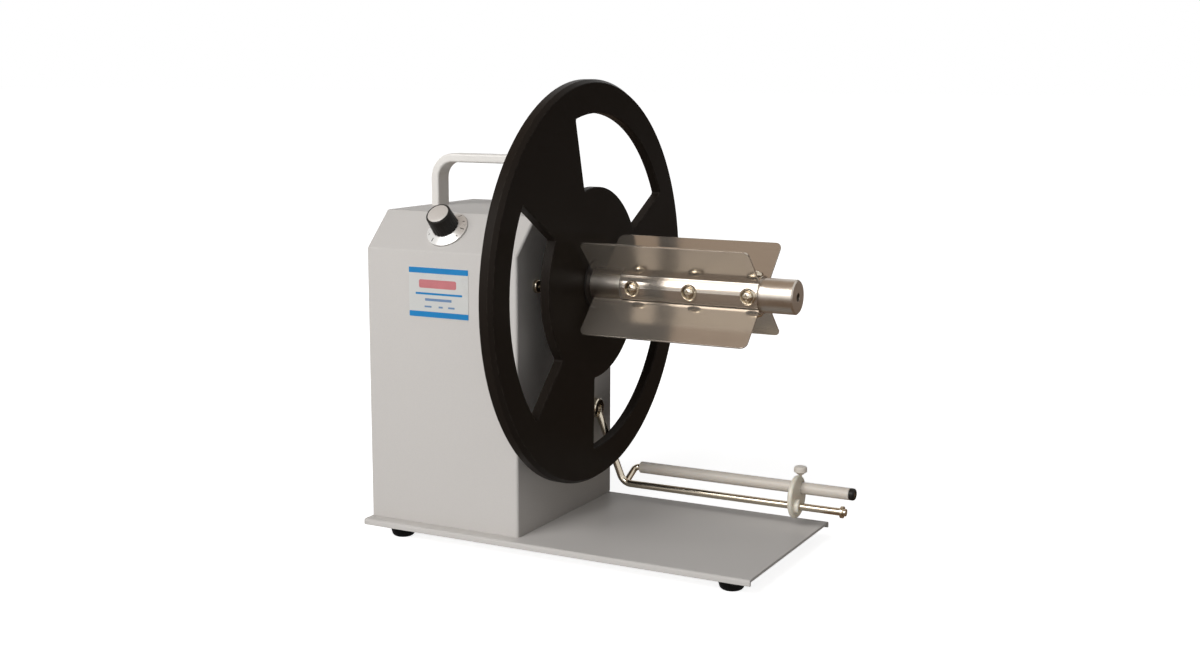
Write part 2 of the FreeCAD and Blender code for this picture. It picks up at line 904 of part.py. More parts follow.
def flange_disc():
    """Large disc with three windows, a bevelled front edge and a lip round its back."""
    x0 = face_x + disc_back
    x1 = face_x + disc_front
    x2 = face_x + lip_back
    points = [(0, x0), (disc_radius - disc_lip_width, x0), (disc_radius - disc_lip_width, x2),
              (disc_radius - disc_back_chamfer, x2), (disc_radius, x2 + disc_back_chamfer),
              (disc_radius, x1 - disc_front_bevel), (disc_radius - disc_front_chamfer, x1), (0, x1)]
    disc = spun(points, at(0, 0, spindle_z), X)
    for number in range(window_count):
        start = first_window - window_angle / 2 + number * 360 / window_count
        window = sector(window_inner_radius, window_outer_radius, start, window_angle, x0 - past, x1 + past)
        corners = [edge for edge in window.Edges if near(edge.BoundBox.XLength, x1 - x0 + 2 * past)]
        disc = disc.cut(window.makeFillet(window_corner_radius, corners))
    edges = []
    for edge in disc.Edges:
        box = edge.BoundBox
        reach = max(math.hypot(v.Point.y, v.Point.z - spindle_z) for v in edge.Vertexes)
        if near(box.XLength, 0) and window_inner_radius - past < reach < window_outer_radius + past:
            edges.append(edge)
    disc = disc.makeChamfer(window_chamfer, edges)
    disc = disc.cut(rod_along_x(hub_nose_radius + running_clearance, x0 - past, x1 + past))
    for y, z in hub_screw_places():
        disc = disc.cut(rod_along_x(m4_shank, x0 - past, x0 + hub_screw_reach(), y, spindle_z + z))
    return disc


def hub_screw_places():
    return circle_places(hub_screw_circle, hub_screw_count, 45)


def hub_screw_reach():
    """How far a hub screw goes into the disc."""
    return m4_length - hub_flange_thickness + m4_head_height


def disc_hub():
    """Boss and flange behind the disc, with a nose that shows in front of it."""
    x0 = face_x + hub_boss_start
    seat = face_x + disc_back
    nose = face_x + disc_front + hub_nose_reach
    points = [(0, x0), (hub_boss_radius, x0), (hub_boss_radius, seat - hub_flange_thickness),
              (hub_flange_radius, seat - hub_flange_thickness), (hub_flange_radius, seat),
              (hub_nose_radius, seat), (hub_nose_radius, nose - hub_nose_chamfer),
              (hub_nose_radius - hub_nose_chamfer, nose), (0, nose)]
    hub = spun(points, at(0, 0, spindle_z), X)
    hub = hub.cut(rod_along_x(spindle_radius, x0 - past, nose + past))
    for y, z in hub_screw_places():
        counterbore = seat - hub_flange_thickness + m4_head_height
        hub = hub.cut(rod_along_x(m4_shank + hole_clearance, x0, seat + past, y, spindle_z + z))
        hub = hub.cut(rod_along_x(m4_head + hole_clearance, x0, counterbore, y, spindle_z + z))
    hole = set_screw_x()[0]
    return hub.cut(rod_along_z(set_screw_radius, spindle_z, spindle_z + hub_boss_radius + past, hole, 0))


def hub_screws():
    """Screws from behind, their heads sunk in the hub's flange."""
    seat = face_x + disc_back - hub_flange_thickness + m4_head_height
    return [m4_screw(at(seat, y, spindle_z + z), -X) for y, z in hub_screw_places()]


def set_screw_x():
    """Places along the spindle of the two set screws: in the disc's hub and in the gear's."""
    hub = face_x + (hub_boss_start + disc_back - hub_flange_thickness) / 2
    gear = spindle_gear_back() + gear_hub_length / 2
    return hub, gear


def set_screws():
    """Headless screws with a hexagon socket, one in each hub."""
    screws = []
    for x, radius in zip(set_screw_x(), (spindle_radius, journal_radius)):
        low = spindle_z + radius
        screw = rod_along_z(set_screw_radius, low, low + set_screw_length, x, 0)
        socket = hexagon(set_screw_radius, set_screw_length, at(x, 0, low + set_screw_length / 2), Z)
        screws.append(screw.cut(socket))
    return screws


def wing_outline(x):
    """Outline of a wing sheet: saddle arc, bend and radial wing, the wing along +Y."""
    inner = spindle_radius + saddle_clearance
    outer = inner + wing_sheet
    half = wing_sheet / 2
    end = math.radians(wing_lean + saddle_half_angle)
    bend_y = math.sqrt((outer + inner_bend) ** 2 - (half + inner_bend) ** 2)
    bend_turn = math.atan2(half + inner_bend, bend_y)
    nose_y = math.sqrt((inner + outer_bend) ** 2 - (outer_bend - half) ** 2)
    nose_turn = math.atan2(outer_bend - half, nose_y)

    def polar(radius, turn):
        return at(x, radius * math.cos(turn), radius * math.sin(turn))

    def arc_point(centre_y, centre_z, radius, turn):
        return at(x, centre_y + radius * math.cos(turn), centre_z + radius * math.sin(turn))

    bend_start = polar(outer, bend_turn)
    bend_end = at(x, bend_y, half)
    bend_middle = arc_point(bend_y, half + inner_bend, inner_bend, (bend_turn + math.pi + 1.5 * math.pi) / 2)
    nose_start = at(x, nose_y, -half)
    nose_end = polar(inner, nose_turn)
    nose_middle = arc_point(nose_y, outer_bend - half, outer_bend, (nose_turn + math.pi + 1.5 * math.pi) / 2)
    tip = wing_tip_radius
    edges = [
        Part.Arc(polar(outer, end), polar(outer, (end + bend_turn) / 2), bend_start).toShape(),
        Part.Arc(bend_start, bend_middle, bend_end).toShape(),
        Part.LineSegment(bend_end, at(x, tip, half)).toShape(),
        Part.LineSegment(at(x, tip, half), at(x, tip, -half)).toShape(),
        Part.LineSegment(at(x, tip, -half), nose_start).toShape(),
        Part.Arc(nose_start, nose_middle, nose_end).toShape(),
        Part.Arc(nose_end, polar(inner, (end + nose_turn) / 2), polar(inner, end)).toShape(),
        Part.LineSegment(polar(inner, end), polar(outer, end)).toShape()]
    return Part.Face(Part.Wire(edges))


def wing(facing):
    """One wing sheet whose saddle faces the given angle, measured from +Y towards +Z."""
    x0 = face_x + wing_start
    x1 = face_x + wing_end
    sheet_solid = wing_outline(x0).extrude(at(x1 - x0, 0, 0))
    half = wing_sheet / 2
    reach = 2 * spindle_radius
    for start, end in ((x0 - past, face_x + saddle_start), (face_x + saddle_end, x1 + past)):
        sheet_solid = sheet_solid.cut(block(start, end, -reach, reach, half, reach))
    corners = edges_where(sheet_solid,
                          lambda p: near(p.y, wing_tip_radius) and (near(p.x, x0) or near(p.x, x1)))
    corners = [edge for edge in corners if near(edge.BoundBox.ZLength, wing_sheet)]
    sheet_solid = sheet_solid.makeFillet(wing_corner_radius, corners)
    sheet_solid = turned(sheet_solid, at(0, 0, 0), X, facing - wing_lean)
    sheet_solid = moved(sheet_solid, z=spindle_z)
    turn = math.radians(facing)
    axis = at(0, math.cos(turn), math.sin(turn))
    for number in range(wing_screw_count):
        x = face_x + wing_screw_first + number * wing_screw_pitch
        hole = Part.makeCylinder(m4_shank + hole_clearance, 2 * spindle_radius, at(x, 0, spindle_z), axis)
        sheet_solid = sheet_solid.cut(hole)
    return sheet_solid


def wing_screw_seats():
    """Centre and axis of each wing screw's seat, on the crest of its saddle."""
    seat = spindle_radius + saddle_clearance + wing_sheet
    seats = []
    for facing in (0, 90, 180, 270):
        turn = math.radians(facing)
        axis = at(0, math.cos(turn), math.sin(turn))
        for number in range(wing_screw_count):
            x = face_x + wing_screw_first + number * wing_screw_pitch
            seats.append((at(x, 0, spindle_z) + axis * seat, axis))
    return seats


def wing_screws():
    """Screws with a cupped flange round a low dome."""
    shank_length = wing_screw_depth + wing_sheet + saddle_clearance
    points = [(0, -shank_length), (m4_shank, -shank_length), (m4_shank, 0), (cup_radius, 0),
              (cup_radius, cup_lip_height), (cup_radius - cup_rim, cup_height),
              (dome_radius + cup_inner_gap, cup_height), (dome_radius + dome_foot_gap, cup_floor),
              (dome_radius, cup_floor), (dome_radius, cup_height),
              (dome_shoulder_radius, dome_shoulder_height),
              (dome_crown_radius, dome_height), (0, dome_height)]
    screw = spun(points)
    floor = dome_height - recess_depth
    arm = dome_recess_arm
    half = recess_width / 2
    cross = fused([block(-arm, arm, -half, half, floor, dome_height + past),
                   block(-half, half, -arm, arm, floor, dome_height + past)])
    screw = screw.cut(cross)
    return [laid(screw, centre, axis) for centre, axis in wing_screw_seats()]


def involute_outline(teeth, module, x):
    """Closed outline of an external gear in the plane at x, a tooth centred on +Y."""
    pitch = module * teeth / 2
    base = pitch * math.cos(math.radians(pressure_angle))
    tip = pitch + module
    root = pitch - 1.25 * module
    start = max(base, root)
    involute_at_pitch = math.tan(math.radians(pressure_angle)) - math.radians(pressure_angle)
    half_at_pitch = (math.pi * module / 2 - backlash / 2) / (2 * pitch)

    def half_angle(radius):
        roll = math.acos(min(1.0, base / radius))
        return half_at_pitch + involute_at_pitch - (math.tan(roll) - roll)

    def point(radius, turn):
        return at(x, radius * math.cos(turn), radius * math.sin(turn))

    steps = 5
    radii = [start + (tip - start) * step / steps for step in range(steps + 1)]
    edges = []
    for tooth in range(teeth):
        centre = 2 * math.pi * tooth / teeth
        gap = 2 * math.pi * (tooth + 0.5) / teeth
        following = 2 * math.pi * (tooth + 1) / teeth
        rising = [point(radius, centre - half_angle(radius)) for radius in radii]
        falling = [point(radius, centre + half_angle(radius)) for radius in reversed(radii)]
        root_start = centre + half_angle(start)
        root_end = following - half_angle(start)
        if start > root:
            edges.append(Part.LineSegment(point(root, centre - half_angle(start)), rising[0]).toShape())
        for flank in (rising, falling):
            spline = Part.BSplineCurve()
            spline.interpolate(flank)
            edges.append(spline.toShape())
            if flank is rising:
                edges.append(Part.Arc(rising[-1], point(tip, centre), falling[0]).toShape())
        if start > root:
            edges.append(Part.LineSegment(falling[-1], point(root, root_start)).toShape())
        edges.append(Part.Arc(point(root, root_start), point(root, gap), point(root, root_end)).toShape())
    return Part.Face(Part.Wire(Part.__sortEdges__(edges)))


def gear_blank(teeth, x0, width, tooth_angle, y, z):
    """Toothed wheel with one tooth centred on the angle from +Y towards +Z."""
    wheel = involute_outline(teeth, gear_module, x0).extrude(at(width, 0, 0))
    wheel = turned(wheel, at(0, 0, 0), X, tooth_angle)
    return moved(wheel, y=y, z=z)


def spindle_gear():
    """Large gear with a hub, a tooth pointing down at the pinion."""
    x0 = face_x - gear_start - gear_width
    gear = gear_blank(gear_teeth, x0, gear_width, -90, 0, spindle_z)
    hub = rod_along_x(gear_hub_radius, spindle_gear_back(), x0 + gear_width / 2)
    gear = fused([gear, hub]).cut(rod_along_x(journal_radius, spindle_gear_back() - past,
                                              x0 + gear_width + past))
    hole = set_screw_x()[1]
    return gear.cut(rod_along_z(set_screw_radius, spindle_z, spindle_z + gear_hub_radius + past, hole, 0))


def spindle_circlip():
    """Open ring in the groove behind the gear."""
    x1 = spindle_gear_back() - circlip_gap
    x0 = x1 - circlip_width
    ring = rod_along_x(circlip_radius, x0, x1)
    ring = ring.cut(rod_along_x(journal_radius - circlip_groove, x0 - past, x1 + past))
    mouth = journal_radius - 2 * circlip_groove
    return ring.cut(block(x0 - past, x1 + past, -mouth / 2, mouth / 2, spindle_z,
                          spindle_z + 2 * circlip_radius))


def pinion_start():
    return gear_start - (pinion_width - gear_width) / 2


def flatted(radius, x0, x1):
    """Round bar about the output axis with a flat along its top."""
    bar = rod_along_x(radius, x0, x1, 0, output_z)
    high = output_z + output_radius - output_flat
    return bar.cut(block(x0 - past, x1 + past, -2 * radius, 2 * radius, high, high + 2 * radius))


def motor_output_shaft():
    return flatted(output_radius, face_x - bracket_back - output_tail, face_x - pinion_start() + past)


def drive_pinion():
    """Small gear on the motor's shaft, a tooth gap pointing up at the large gear."""
    x0 = face_x - pinion_start() - pinion_width
    pinion = gear_blank(pinion_teeth, x0, pinion_width, 90 + 180 / pinion_teeth, 0, output_z)
    return pinion.cut(flatted(output_radius, x0 - past, x0 + pinion_width + past))


def motor_bracket():
    """Angle bracket on the base plate that carries the gearbox."""
    x1 = face_x - bracket_start
    x0 = x1 - bracket_sheet
    high = spindle_z - bracket_below_spindle
    half = bracket_width / 2
    plate = block(x0, x1, -half, half, base_top, high)
    foot = block(x0 - bracket_foot, x1, -half, half, base_top, base_top + bracket_sheet)
    bracket = fused([plate, foot])
    bracket = bracket.cut(rod_along_x(gearbox_boss_radius + running_clearance, x0 - past, x1 + past, 0,
                                      output_z))
    for y, z in gearbox_screw_places():
        bracket = bracket.cut(rod_along_x(m3_shank + hole_clearance, x0 - past, x1 + past, y, z))
    for x, y in bracket_screw_places()[:2]:
        bracket = bracket.cut(rod_along_z(m4_shank, base_top - past, base_top + 2 * bracket_sheet, x, y))
    return bracket


def gearbox_screw_places():
    return [(y, gearbox_z + z) for y, z in circle_places(gearbox_screw_circle, 4, 45)]


def gearbox():
    """Round gearbox with a boss about its offset output shaft."""
    x1 = face_x - bracket_back
    body = rod_along_x(gearbox_radius, x1 - gearbox_length, x1, 0, gearbox_z)
    boss = rod_along_x(gearbox_boss_radius, x1 - past, x1 + gearbox_boss_length, 0, output_z)
    box = fused([body, boss])
    bore = output_radius + running_clearance
    box = box.cut(rod_along_x(bore, x1 - output_tail - past, x1 + gearbox_boss_length + past, 0, output_z))
    for y, z in gearbox_screw_places():
        box = box.cut(rod_along_x(m3_shank, x1 - m3_length, x1 + past, y, z))
    return box


def gearbox_screws():
    return [m3_screw(at(face_x - bracket_start, y, z), X) for y, z in gearbox_screw_places()]


def motor_can():
    """Motor behind the gearbox, with a rounded end and two terminals."""
    x1 = face_x - bracket_back - gearbox_length
    x0 = x1 - motor_length
    can = rod_along_x(motor_radius, x0, x1, 0, gearbox_z)
    end = ring_edges(can, x0, motor_radius, at(x0, 0, gearbox_z))
    can = can.makeFillet(motor_edge_radius, end)
    half_width = motor_lug_width / 2
    half_sheet = motor_lug_sheet / 2
    lugs = [block(x0 - motor_lug, x0 + past, y - half_width, y + half_width,
                  gearbox_z - half_sheet, gearbox_z + half_sheet)
            for y in (-motor_radius / 2, motor_radius / 2)]
    return fused([can] + lugs)


def potentiometer():
    """Body behind the sloped panel, with its threaded bushing and lugs."""
    body = Part.makeCylinder(pot_radius, pot_depth, at(0, 0, -sheet - pot_depth))
    bushing = Part.makeCylinder(pot_bushing_radius, pot_bushing_height + 2 * sheet, at(0, 0, -2 * sheet))
    pot = fused([body, bushing])
    lug_z = -sheet - pot_depth / 3
    for number in range(pot_lug_count):
        x = (number - (pot_lug_count - 1) / 2) * pot_lug_pitch
        pot = pot.fuse(block(x - pot_lug_width / 2, x + pot_lug_width / 2,
                             -pot_radius - pot_lug_length, -pot_radius / 2,
                             lug_z - pot_lug_sheet / 2, lug_z + pot_lug_sheet / 2))
    bore = pot_shaft_radius + running_clearance
    low = -sheet - pot_depth + pot_floor
    pot = pot.cut(Part.makeCylinder(bore, pot_depth + 4 * sheet, at(0, 0, low)))
    return on_slope(pot.removeSplitter())


def pot_nut():
    nut = hexagon(pot_nut_flats, pot_nut_height, at(0, 0, 0), Z)
    return on_slope(nut.cut(Part.makeCylinder(pot_bushing_radius, 2 * pot_nut_height)))


def pot_shaft():
    low = -sheet - pot_depth + pot_floor + pot_shaft_gap
    return on_slope(Part.makeCylinder(pot_shaft_radius, pot_shaft_top - low, at(0, 0, low)))


def knob_skirt():
    """Low dished ring that carries the scale."""
    points = [(skirt_cavity_radius, skirt_gap), (skirt_radius, skirt_gap),
              (skirt_radius, skirt_gap + skirt_rim_height), (skirt_top_radius, skirt_height),
              (knob_foot_radius + skirt_land, skirt_height + skirt_gap),
              (pot_shaft_radius, skirt_height + skirt_gap),
              (pot_shaft_radius, skirt_cavity_roof), (skirt_cavity_radius, skirt_cavity_roof)]
    return on_slope(spun(points))


def speed_knob():
    """Fluted body with a slight taper and a recess for its cap."""
    low = skirt_height + skirt_gap
    recess_radius = knob_top_radius - knob_rim
    points = [(pot_shaft_radius, low), (knob_foot_radius, low), (knob_top_radius, knob_height - knob_edge_radius),
              (knob_top_radius - knob_edge_radius, knob_height), (recess_radius, knob_height),
              (recess_radius, knob_height - knob_cap_depth), (0, knob_height - knob_cap_depth), (0, pot_shaft_top),
              (pot_shaft_radius, pot_shaft_top)]
    body = spun(points)
    for number in range(flute_count):
        turn = 2 * math.pi * (number + 0.5) / flute_count
        reach = knob_foot_radius + flute_sink
        centre = at(reach * math.cos(turn), reach * math.sin(turn), low - past)
        body = body.cut(Part.makeCylinder(flute_radius, knob_height - low - flute_end + past, centre))
    return on_slope(body)


def knob_cap():
    """Slightly crowned disc in the knob's recess."""
    radius = knob_top_radius - knob_rim
    low = knob_height - knob_cap_depth
    points = [(0, low), (radius, low), (radius, knob_height),
              (knob_cap_shoulder * radius, knob_height + knob_cap_shoulder_rise),
              (knob_cap_flat * radius, knob_height + knob_cap_crown), (0, knob_height + knob_cap_crown)]
    return on_slope(spun(points))


def pivot_boss():
    """Boss welded inside the right wall, bored for its two bushes."""
    x1 = face_x - sheet
    boss = rod_along_x(pivot_boss_radius, x1 - pivot_boss_length, x1, pivot_y, pivot_z)
    return boss.cut(rod_along_x(pivot_radius + bush_wall, x1 - 2 * pivot_boss_length, x1 + past, pivot_y,
                                pivot_z))


def pivot_bushes():
    """Two flanged bushes, one from each end of the boss."""
    points = [(pivot_radius, -bush_length), (pivot_radius + bush_wall, -bush_length),
              (pivot_radius + bush_wall, 0), (bush_flange_radius, 0), (bush_flange_radius, bush_flange),
              (pivot_radius, bush_flange)]
    outer = spun(points, at(face_x, pivot_y, pivot_z), X)
    inner = spun(points, at(face_x - sheet - pivot_boss_length, pivot_y, pivot_z), -X)
    return [outer, inner]


def pivot_clip_x():
    return vane_x - circlip_gap - clip_width


def arm_pivot_shaft():
    """Shaft of the arm, with a groove for its clip."""
    radius = pivot_radius - running_clearance
    clip = pivot_clip_x()
    end = face_x + arm_hub_end - arm_hub_lip
    points = [(0, clip - pivot_shaft_tail), (radius, clip - pivot_shaft_tail), (radius, clip),
              (radius - clip_groove, clip), (radius - clip_groove, clip + clip_width),
              (radius, clip + clip_width),
              (radius, end), (0, end)]
    return spun(points, at(0, pivot_y, pivot_z), X)


def arm_hub():
    """Boss on the outer end of the pivot shaft; the arm's leg enters it from below."""
    x0 = face_x + arm_hub_start
    x1 = face_x + arm_hub_end
    hub = rod_along_x(arm_hub_radius, x0, x1, pivot_y, pivot_z)
    hub = hub.makeChamfer(arm_hub_chamfer, ring_edges(hub, x1, arm_hub_radius, at(x1, pivot_y, pivot_z)))
    hub = hub.cut(rod_along_x(pivot_radius - running_clearance, x0 - past, x1 - arm_hub_lip, pivot_y,
                              pivot_z))
    hub = hub.cut(rod_along_x(arm_hub_socket, x0, x1 + past, pivot_y, pivot_z))
    return hub.cut(arm_leg())


def leg_top():
    """Where the arm's leg starts, just below the pivot shaft."""
    return at(leg_top_x, pivot_y, pivot_z)


def leg_foot():
    """Where the leg meets the rod, so that it passes the disc's lower edge with its clearance."""
    return at(leg_foot_x, rod_y, rod_z)


def arm_leg():
    """Slanted leg that bends into the long lower rod."""
    leg = bent_rod([leg_top(), leg_foot(), at(face_x + rod_end, rod_y, rod_z)], rod_radius, leg_bend)
    core = rod_along_x(pivot_radius - running_clearance, face_x - past, face_x + arm_hub_end + past,
                       pivot_y, pivot_z)
    return leg.cut(core)


def tension_arm():
    """Leg with its rod, and the brazed link that carries the roller's axle."""
    start = at(link_x, rod_y, rod_z + link_root_rise)
    corner = at(link_x + link_lean, roller_y, roller_z)
    end = at(face_x + roller_end + cap_gap + cap_width - axle_recess, roller_y, roller_z)
    link = bent_rod([start, corner, end], axle_radius, link_bend)
    sleeve = bent_rod([start, corner, at(face_x + roller_start - sleeve_gap, roller_y, roller_z)],
                      link_radius, link_bend)
    return fused([arm_leg(), sleeve, link])


def rod_end_collar():
    """Ring near the free end of the lower rod."""
    x1 = face_x + rod_end - collar_inset
    collar = rod_along_x(collar_radius, x1 - collar_width, x1, rod_y, rod_z)
    return collar.cut(rod_along_x(rod_radius, x1 - 2 * collar_width, x1 + past, rod_y, rod_z))


def roller_tube():
    x0 = face_x + roller_start
    x1 = face_x + roller_end
    tube = rod_along_x(roller_radius, x0, x1, roller_y, roller_z)
    centre = at(x0, roller_y, roller_z)
    rims = ring_edges(tube, x0, roller_radius, centre) + ring_edges(tube, x1, roller_radius, centre)
    tube = tube.makeFillet(roller_edge_radius, rims)
    return tube.cut(rod_along_x(axle_radius + running_clearance, x0 - past, x1 + past, roller_y, roller_z))


def roller_end_cap():
    """Rounded cap that keeps the roller on its axle."""
    x0 = face_x + roller_end + cap_gap
    x1 = x0 + cap_width
    cap = rod_along_x(roller_radius, x0, x1, roller_y, roller_z)
    cap = cap.makeFillet(cap_edge_radius, ring_edges(cap, x1, roller_radius, at(x1, roller_y, roller_z)))
    return cap.cut(rod_along_x(axle_radius, x0 - past, x1 + past, roller_y, roller_z))


def guide_centre():
    return (rod_y + roller_y) / 2, (rod_z + roller_z) / 2


def thumb_seat():
    """Height of the guide disc's rim beside the thumb screw's neck."""
    y, z = guide_centre()
    return z + math.sqrt(guide_radius ** 2 - (roller_y - thumb_neck_radius - y) ** 2)


def guide_disc():
    """Round plate that slides on the rod and the roller, with a small boss round the rod."""
    x0 = face_x + guide_place - guide_thickness / 2
    x1 = x0 + guide_thickness
    y, z = guide_centre()
    plate = rod_along_x(guide_radius, x0, x1, y, z)
    rims = ring_edges(plate, x0, guide_radius, at(x0, y, z)) + ring_edges(plate, x1, guide_radius,
                                                                          at(x1, y, z))
    plate = plate.makeFillet(guide_edge_radius, rims)
    boss = rod_along_x(guide_boss_radius, x1 - past, x1 + guide_boss_length, rod_y, rod_z)
    plate = fused([plate, boss])
    plate = plate.cut(rod_along_x(rod_radius + guide_rod_clearance, x0 - past, x1 + 2 * guide_boss_length,
                                  rod_y, rod_z))
    plate = plate.cut(rod_along_x(roller_radius + guide_roller_clearance, x0 - past, x1 + past, roller_y,
                                  roller_z))
    hole = rod_along_z(thumb_shank_radius + running_clearance, roller_z, thumb_seat() + past,
                       face_x + guide_place, roller_y)
    return plate.cut(hole)


def thumb_screw():
    """Small screw with a conical neck and a rounded head, above the roller."""
    tip = roller_z + roller_radius + thumb_tip_gap
    seat = thumb_seat() + thumb_seat_gap
    head = seat + thumb_neck_height
    top = head + thumb_head_height
    x = face_x + guide_place
    points = [(0, tip), (thumb_shank_radius, tip), (thumb_shank_radius, seat), (thumb_neck_radius, seat),
              (thumb_neck_radius + thumb_neck_flare, head), (thumb_head_radius, head + thumb_head_slope),
              (thumb_head_radius, top), (0, top)]
    screw = spun(points, at(x, roller_y, 0), Z)
    rim = [edge for edge in screw.Edges if near(edge.BoundBox.ZMin, top)]
    return screw.makeFillet(thumb_edge_radius, rim)


def arm_vane():
    """Hub clamped on the pivot shaft, with a sector that hangs in the sensor's slot."""
    radius = pivot_radius - running_clearance
    hub = rod_along_x(vane_hub_radius, vane_x, vane_x + vane_hub_length, pivot_y, pivot_z)
    plate = rod_along_x(vane_radius, vane_x, vane_x + vane_sheet, pivot_y, pivot_z)
    reach = 2 * vane_radius
    side = reach * math.tan(math.radians(vane_half_angle))
    wedge = side_prism([(pivot_y, pivot_z), (pivot_y + side, pivot_z - reach),
                        (pivot_y - side, pivot_z - reach)],
                       vane_x, vane_x + vane_sheet)
    vane = fused([hub, plate.common(wedge)])
    return vane.cut(rod_along_x(radius, vane_x - past, vane_x + vane_hub_length + past, pivot_y, pivot_z))


def pivot_clip():
    """Open ring in the groove of the pivot shaft."""
    x0 = pivot_clip_x()
    x1 = x0 + clip_width
    inner = pivot_radius - running_clearance - clip_groove
    ring = rod_along_x(clip_radius, x0, x1, pivot_y, pivot_z)
    ring = ring.cut(rod_along_x(inner, x0 - past, x1 + past, pivot_y, pivot_z))
    return ring.cut(block(x0 - past, x1 + past, pivot_y - inner / 2, pivot_y + inner / 2, pivot_z,
                          pivot_z + 2 * clip_radius))


def sensor_slot_x():
    """Middle of the sensor's slot, in line with the vane."""
    return vane_x + vane_sheet / 2


def sensor_floor_z():
    return pivot_z - vane_radius - sensor_floor_gap


def sensor_upright_x():
    """Face of the bracket that carries the sensor."""
    return sensor_slot_x() - sensor_slot / 2 - sensor_leg - sensor_tab


def opto_sensor():
    """Fork-shaped sensor with its slot open upwards."""
    slot = sensor_slot_x()
    x0 = slot - sensor_slot / 2 - sensor_leg
    x1 = slot + sensor_slot / 2 + sensor_leg
    floor = sensor_floor_z()
    half = sensor_depth / 2
    body = block(x0, x1, pivot_y - half, pivot_y + half, floor - sensor_floor,
                 floor + sensor_floor_gap + sensor_overlap)
    body = body.cut(block(slot - sensor_slot / 2, slot + sensor_slot / 2, pivot_y - half - past,
                          pivot_y + half + past, floor, pivot_z))
    tab = block(sensor_upright_x(), x0, pivot_y - half, pivot_y + half, floor - sensor_floor, floor)
    return fused([body, tab])


def sensor_bracket():
    """Angle bracket on the base plate, up to the sensor."""
    x1 = sensor_upright_x()
    half = sensor_depth / 2
    upright = block(x1 - sheet, x1, pivot_y - half, pivot_y + half, base_top, sensor_floor_z())
    foot = block(x1 - sensor_bracket_foot, x1, pivot_y - half, pivot_y + half, base_top, base_top + sheet)
    bracket = fused([upright, foot])
    x, y = bracket_screw_places()[2]
    return bracket.cut(rod_along_z(m4_shank, base_top - past, base_top + 2 * sheet, x, y))


def standoff_places():
    xs = (board_left_x + standoff_inset, board_right_x - standoff_inset)
    zs = (board_low_z + standoff_inset, board_low_z + board_height - standoff_inset)
    return [(x, z) for x in xs for z in zs]


def control_board():
    board = block(board_left_x, board_right_x, board_front_y, board_front_y + board_sheet,
                  board_low_z, board_low_z + board_height)
    for x, z in standoff_places():
        board = board.cut(rod_along_y(standoff_pin, board_front_y - past, board_front_y + 3, x, z))
    return board


def board_standoffs():
    """Spacers between the rear cover and the board, with a pin and a head at each end."""
    spacers = []
    for x, z in standoff_places():
        spacer = hexagon(standoff_flats, standoff_height, at(x, board_front_y + board_sheet, z), Y)
        pin = rod_along_y(standoff_pin, board_front_y - standoff_head_height, cover_inner_y + sheet, x, z)
        head = rod_along_y(standoff_head, board_front_y - standoff_head_height, board_front_y, x, z)
        spacers.append(fused([spacer, pin, head]))
    return spacers


def heat_sink():
    """Finned sink on the front of the board."""
    x0 = board_left_x + sink_inset
    x1 = capacitor_x - capacitor_radius - sink_gap
    z0 = board_low_z + sink_inset
    y1 = board_front_y
    sink = block(x0, x1, y1 - sink_base, y1, z0, z0 + sink_height)
    pitch = (x1 - x0 - sink_fin) / (sink_fin_count - 1)
    fins = [block(x0 + number * pitch, x0 + number * pitch + sink_fin, y1 - sink_depth, y1, z0,
                  z0 + sink_height)
            for number in range(sink_fin_count)]
    return fused([sink] + fins)


def capacitors():
    """Two can capacitors on the front of the board."""
    cans = []
    for number in range(2):
        z = board_low_z + capacitor_bottom + number * capacitor_pitch
        can = rod_along_y(capacitor_radius, board_front_y - capacitor_length, board_front_y, capacitor_x, z)
        rim = [edge for edge in can.Edges if near(edge.BoundBox.YMax, board_front_y - capacitor_length)]
        cans.append(can.makeFillet(capacitor_edge_radius, rim))
    return cans


def terminal_places():
    """(x, z) of the terminals' wire ways, from left to right."""
    pitch = terminal_width / terminal_ways
    x0 = board_left_x + terminal_inset
    top = board_low_z + board_height - standoff_inset - standoff_head - terminal_gap
    z = top - terminal_height / 2
    return [(x0 + (number + 0.5) * pitch, z) for number in range(terminal_ways)]


def terminal_block():
    """Row of screw terminals on the front of the board."""
    places = terminal_places()
    x0 = places[0][0] - terminal_width / terminal_ways / 2
    z = places[0][1]
    low = z - terminal_height / 2
    front = board_front_y - terminal_depth
    body = block(x0, x0 + terminal_width, front, board_front_y, low, low + terminal_height)
    for x, _ in places:
        body = body.cut(rod_along_y(terminal_screw_radius, front - past, front + terminal_screw_depth,
                                    x, z + terminal_screw_rise))
    return body


def switch_x():
    return face_x - switch_from_right


def switch_z():
    return top_z - switch_below_top


def rocker_pivot():
    """Centre of the rocker's pins."""
    return at(switch_x(), back_y + switch_bezel - rocker_pin_depth, switch_z())


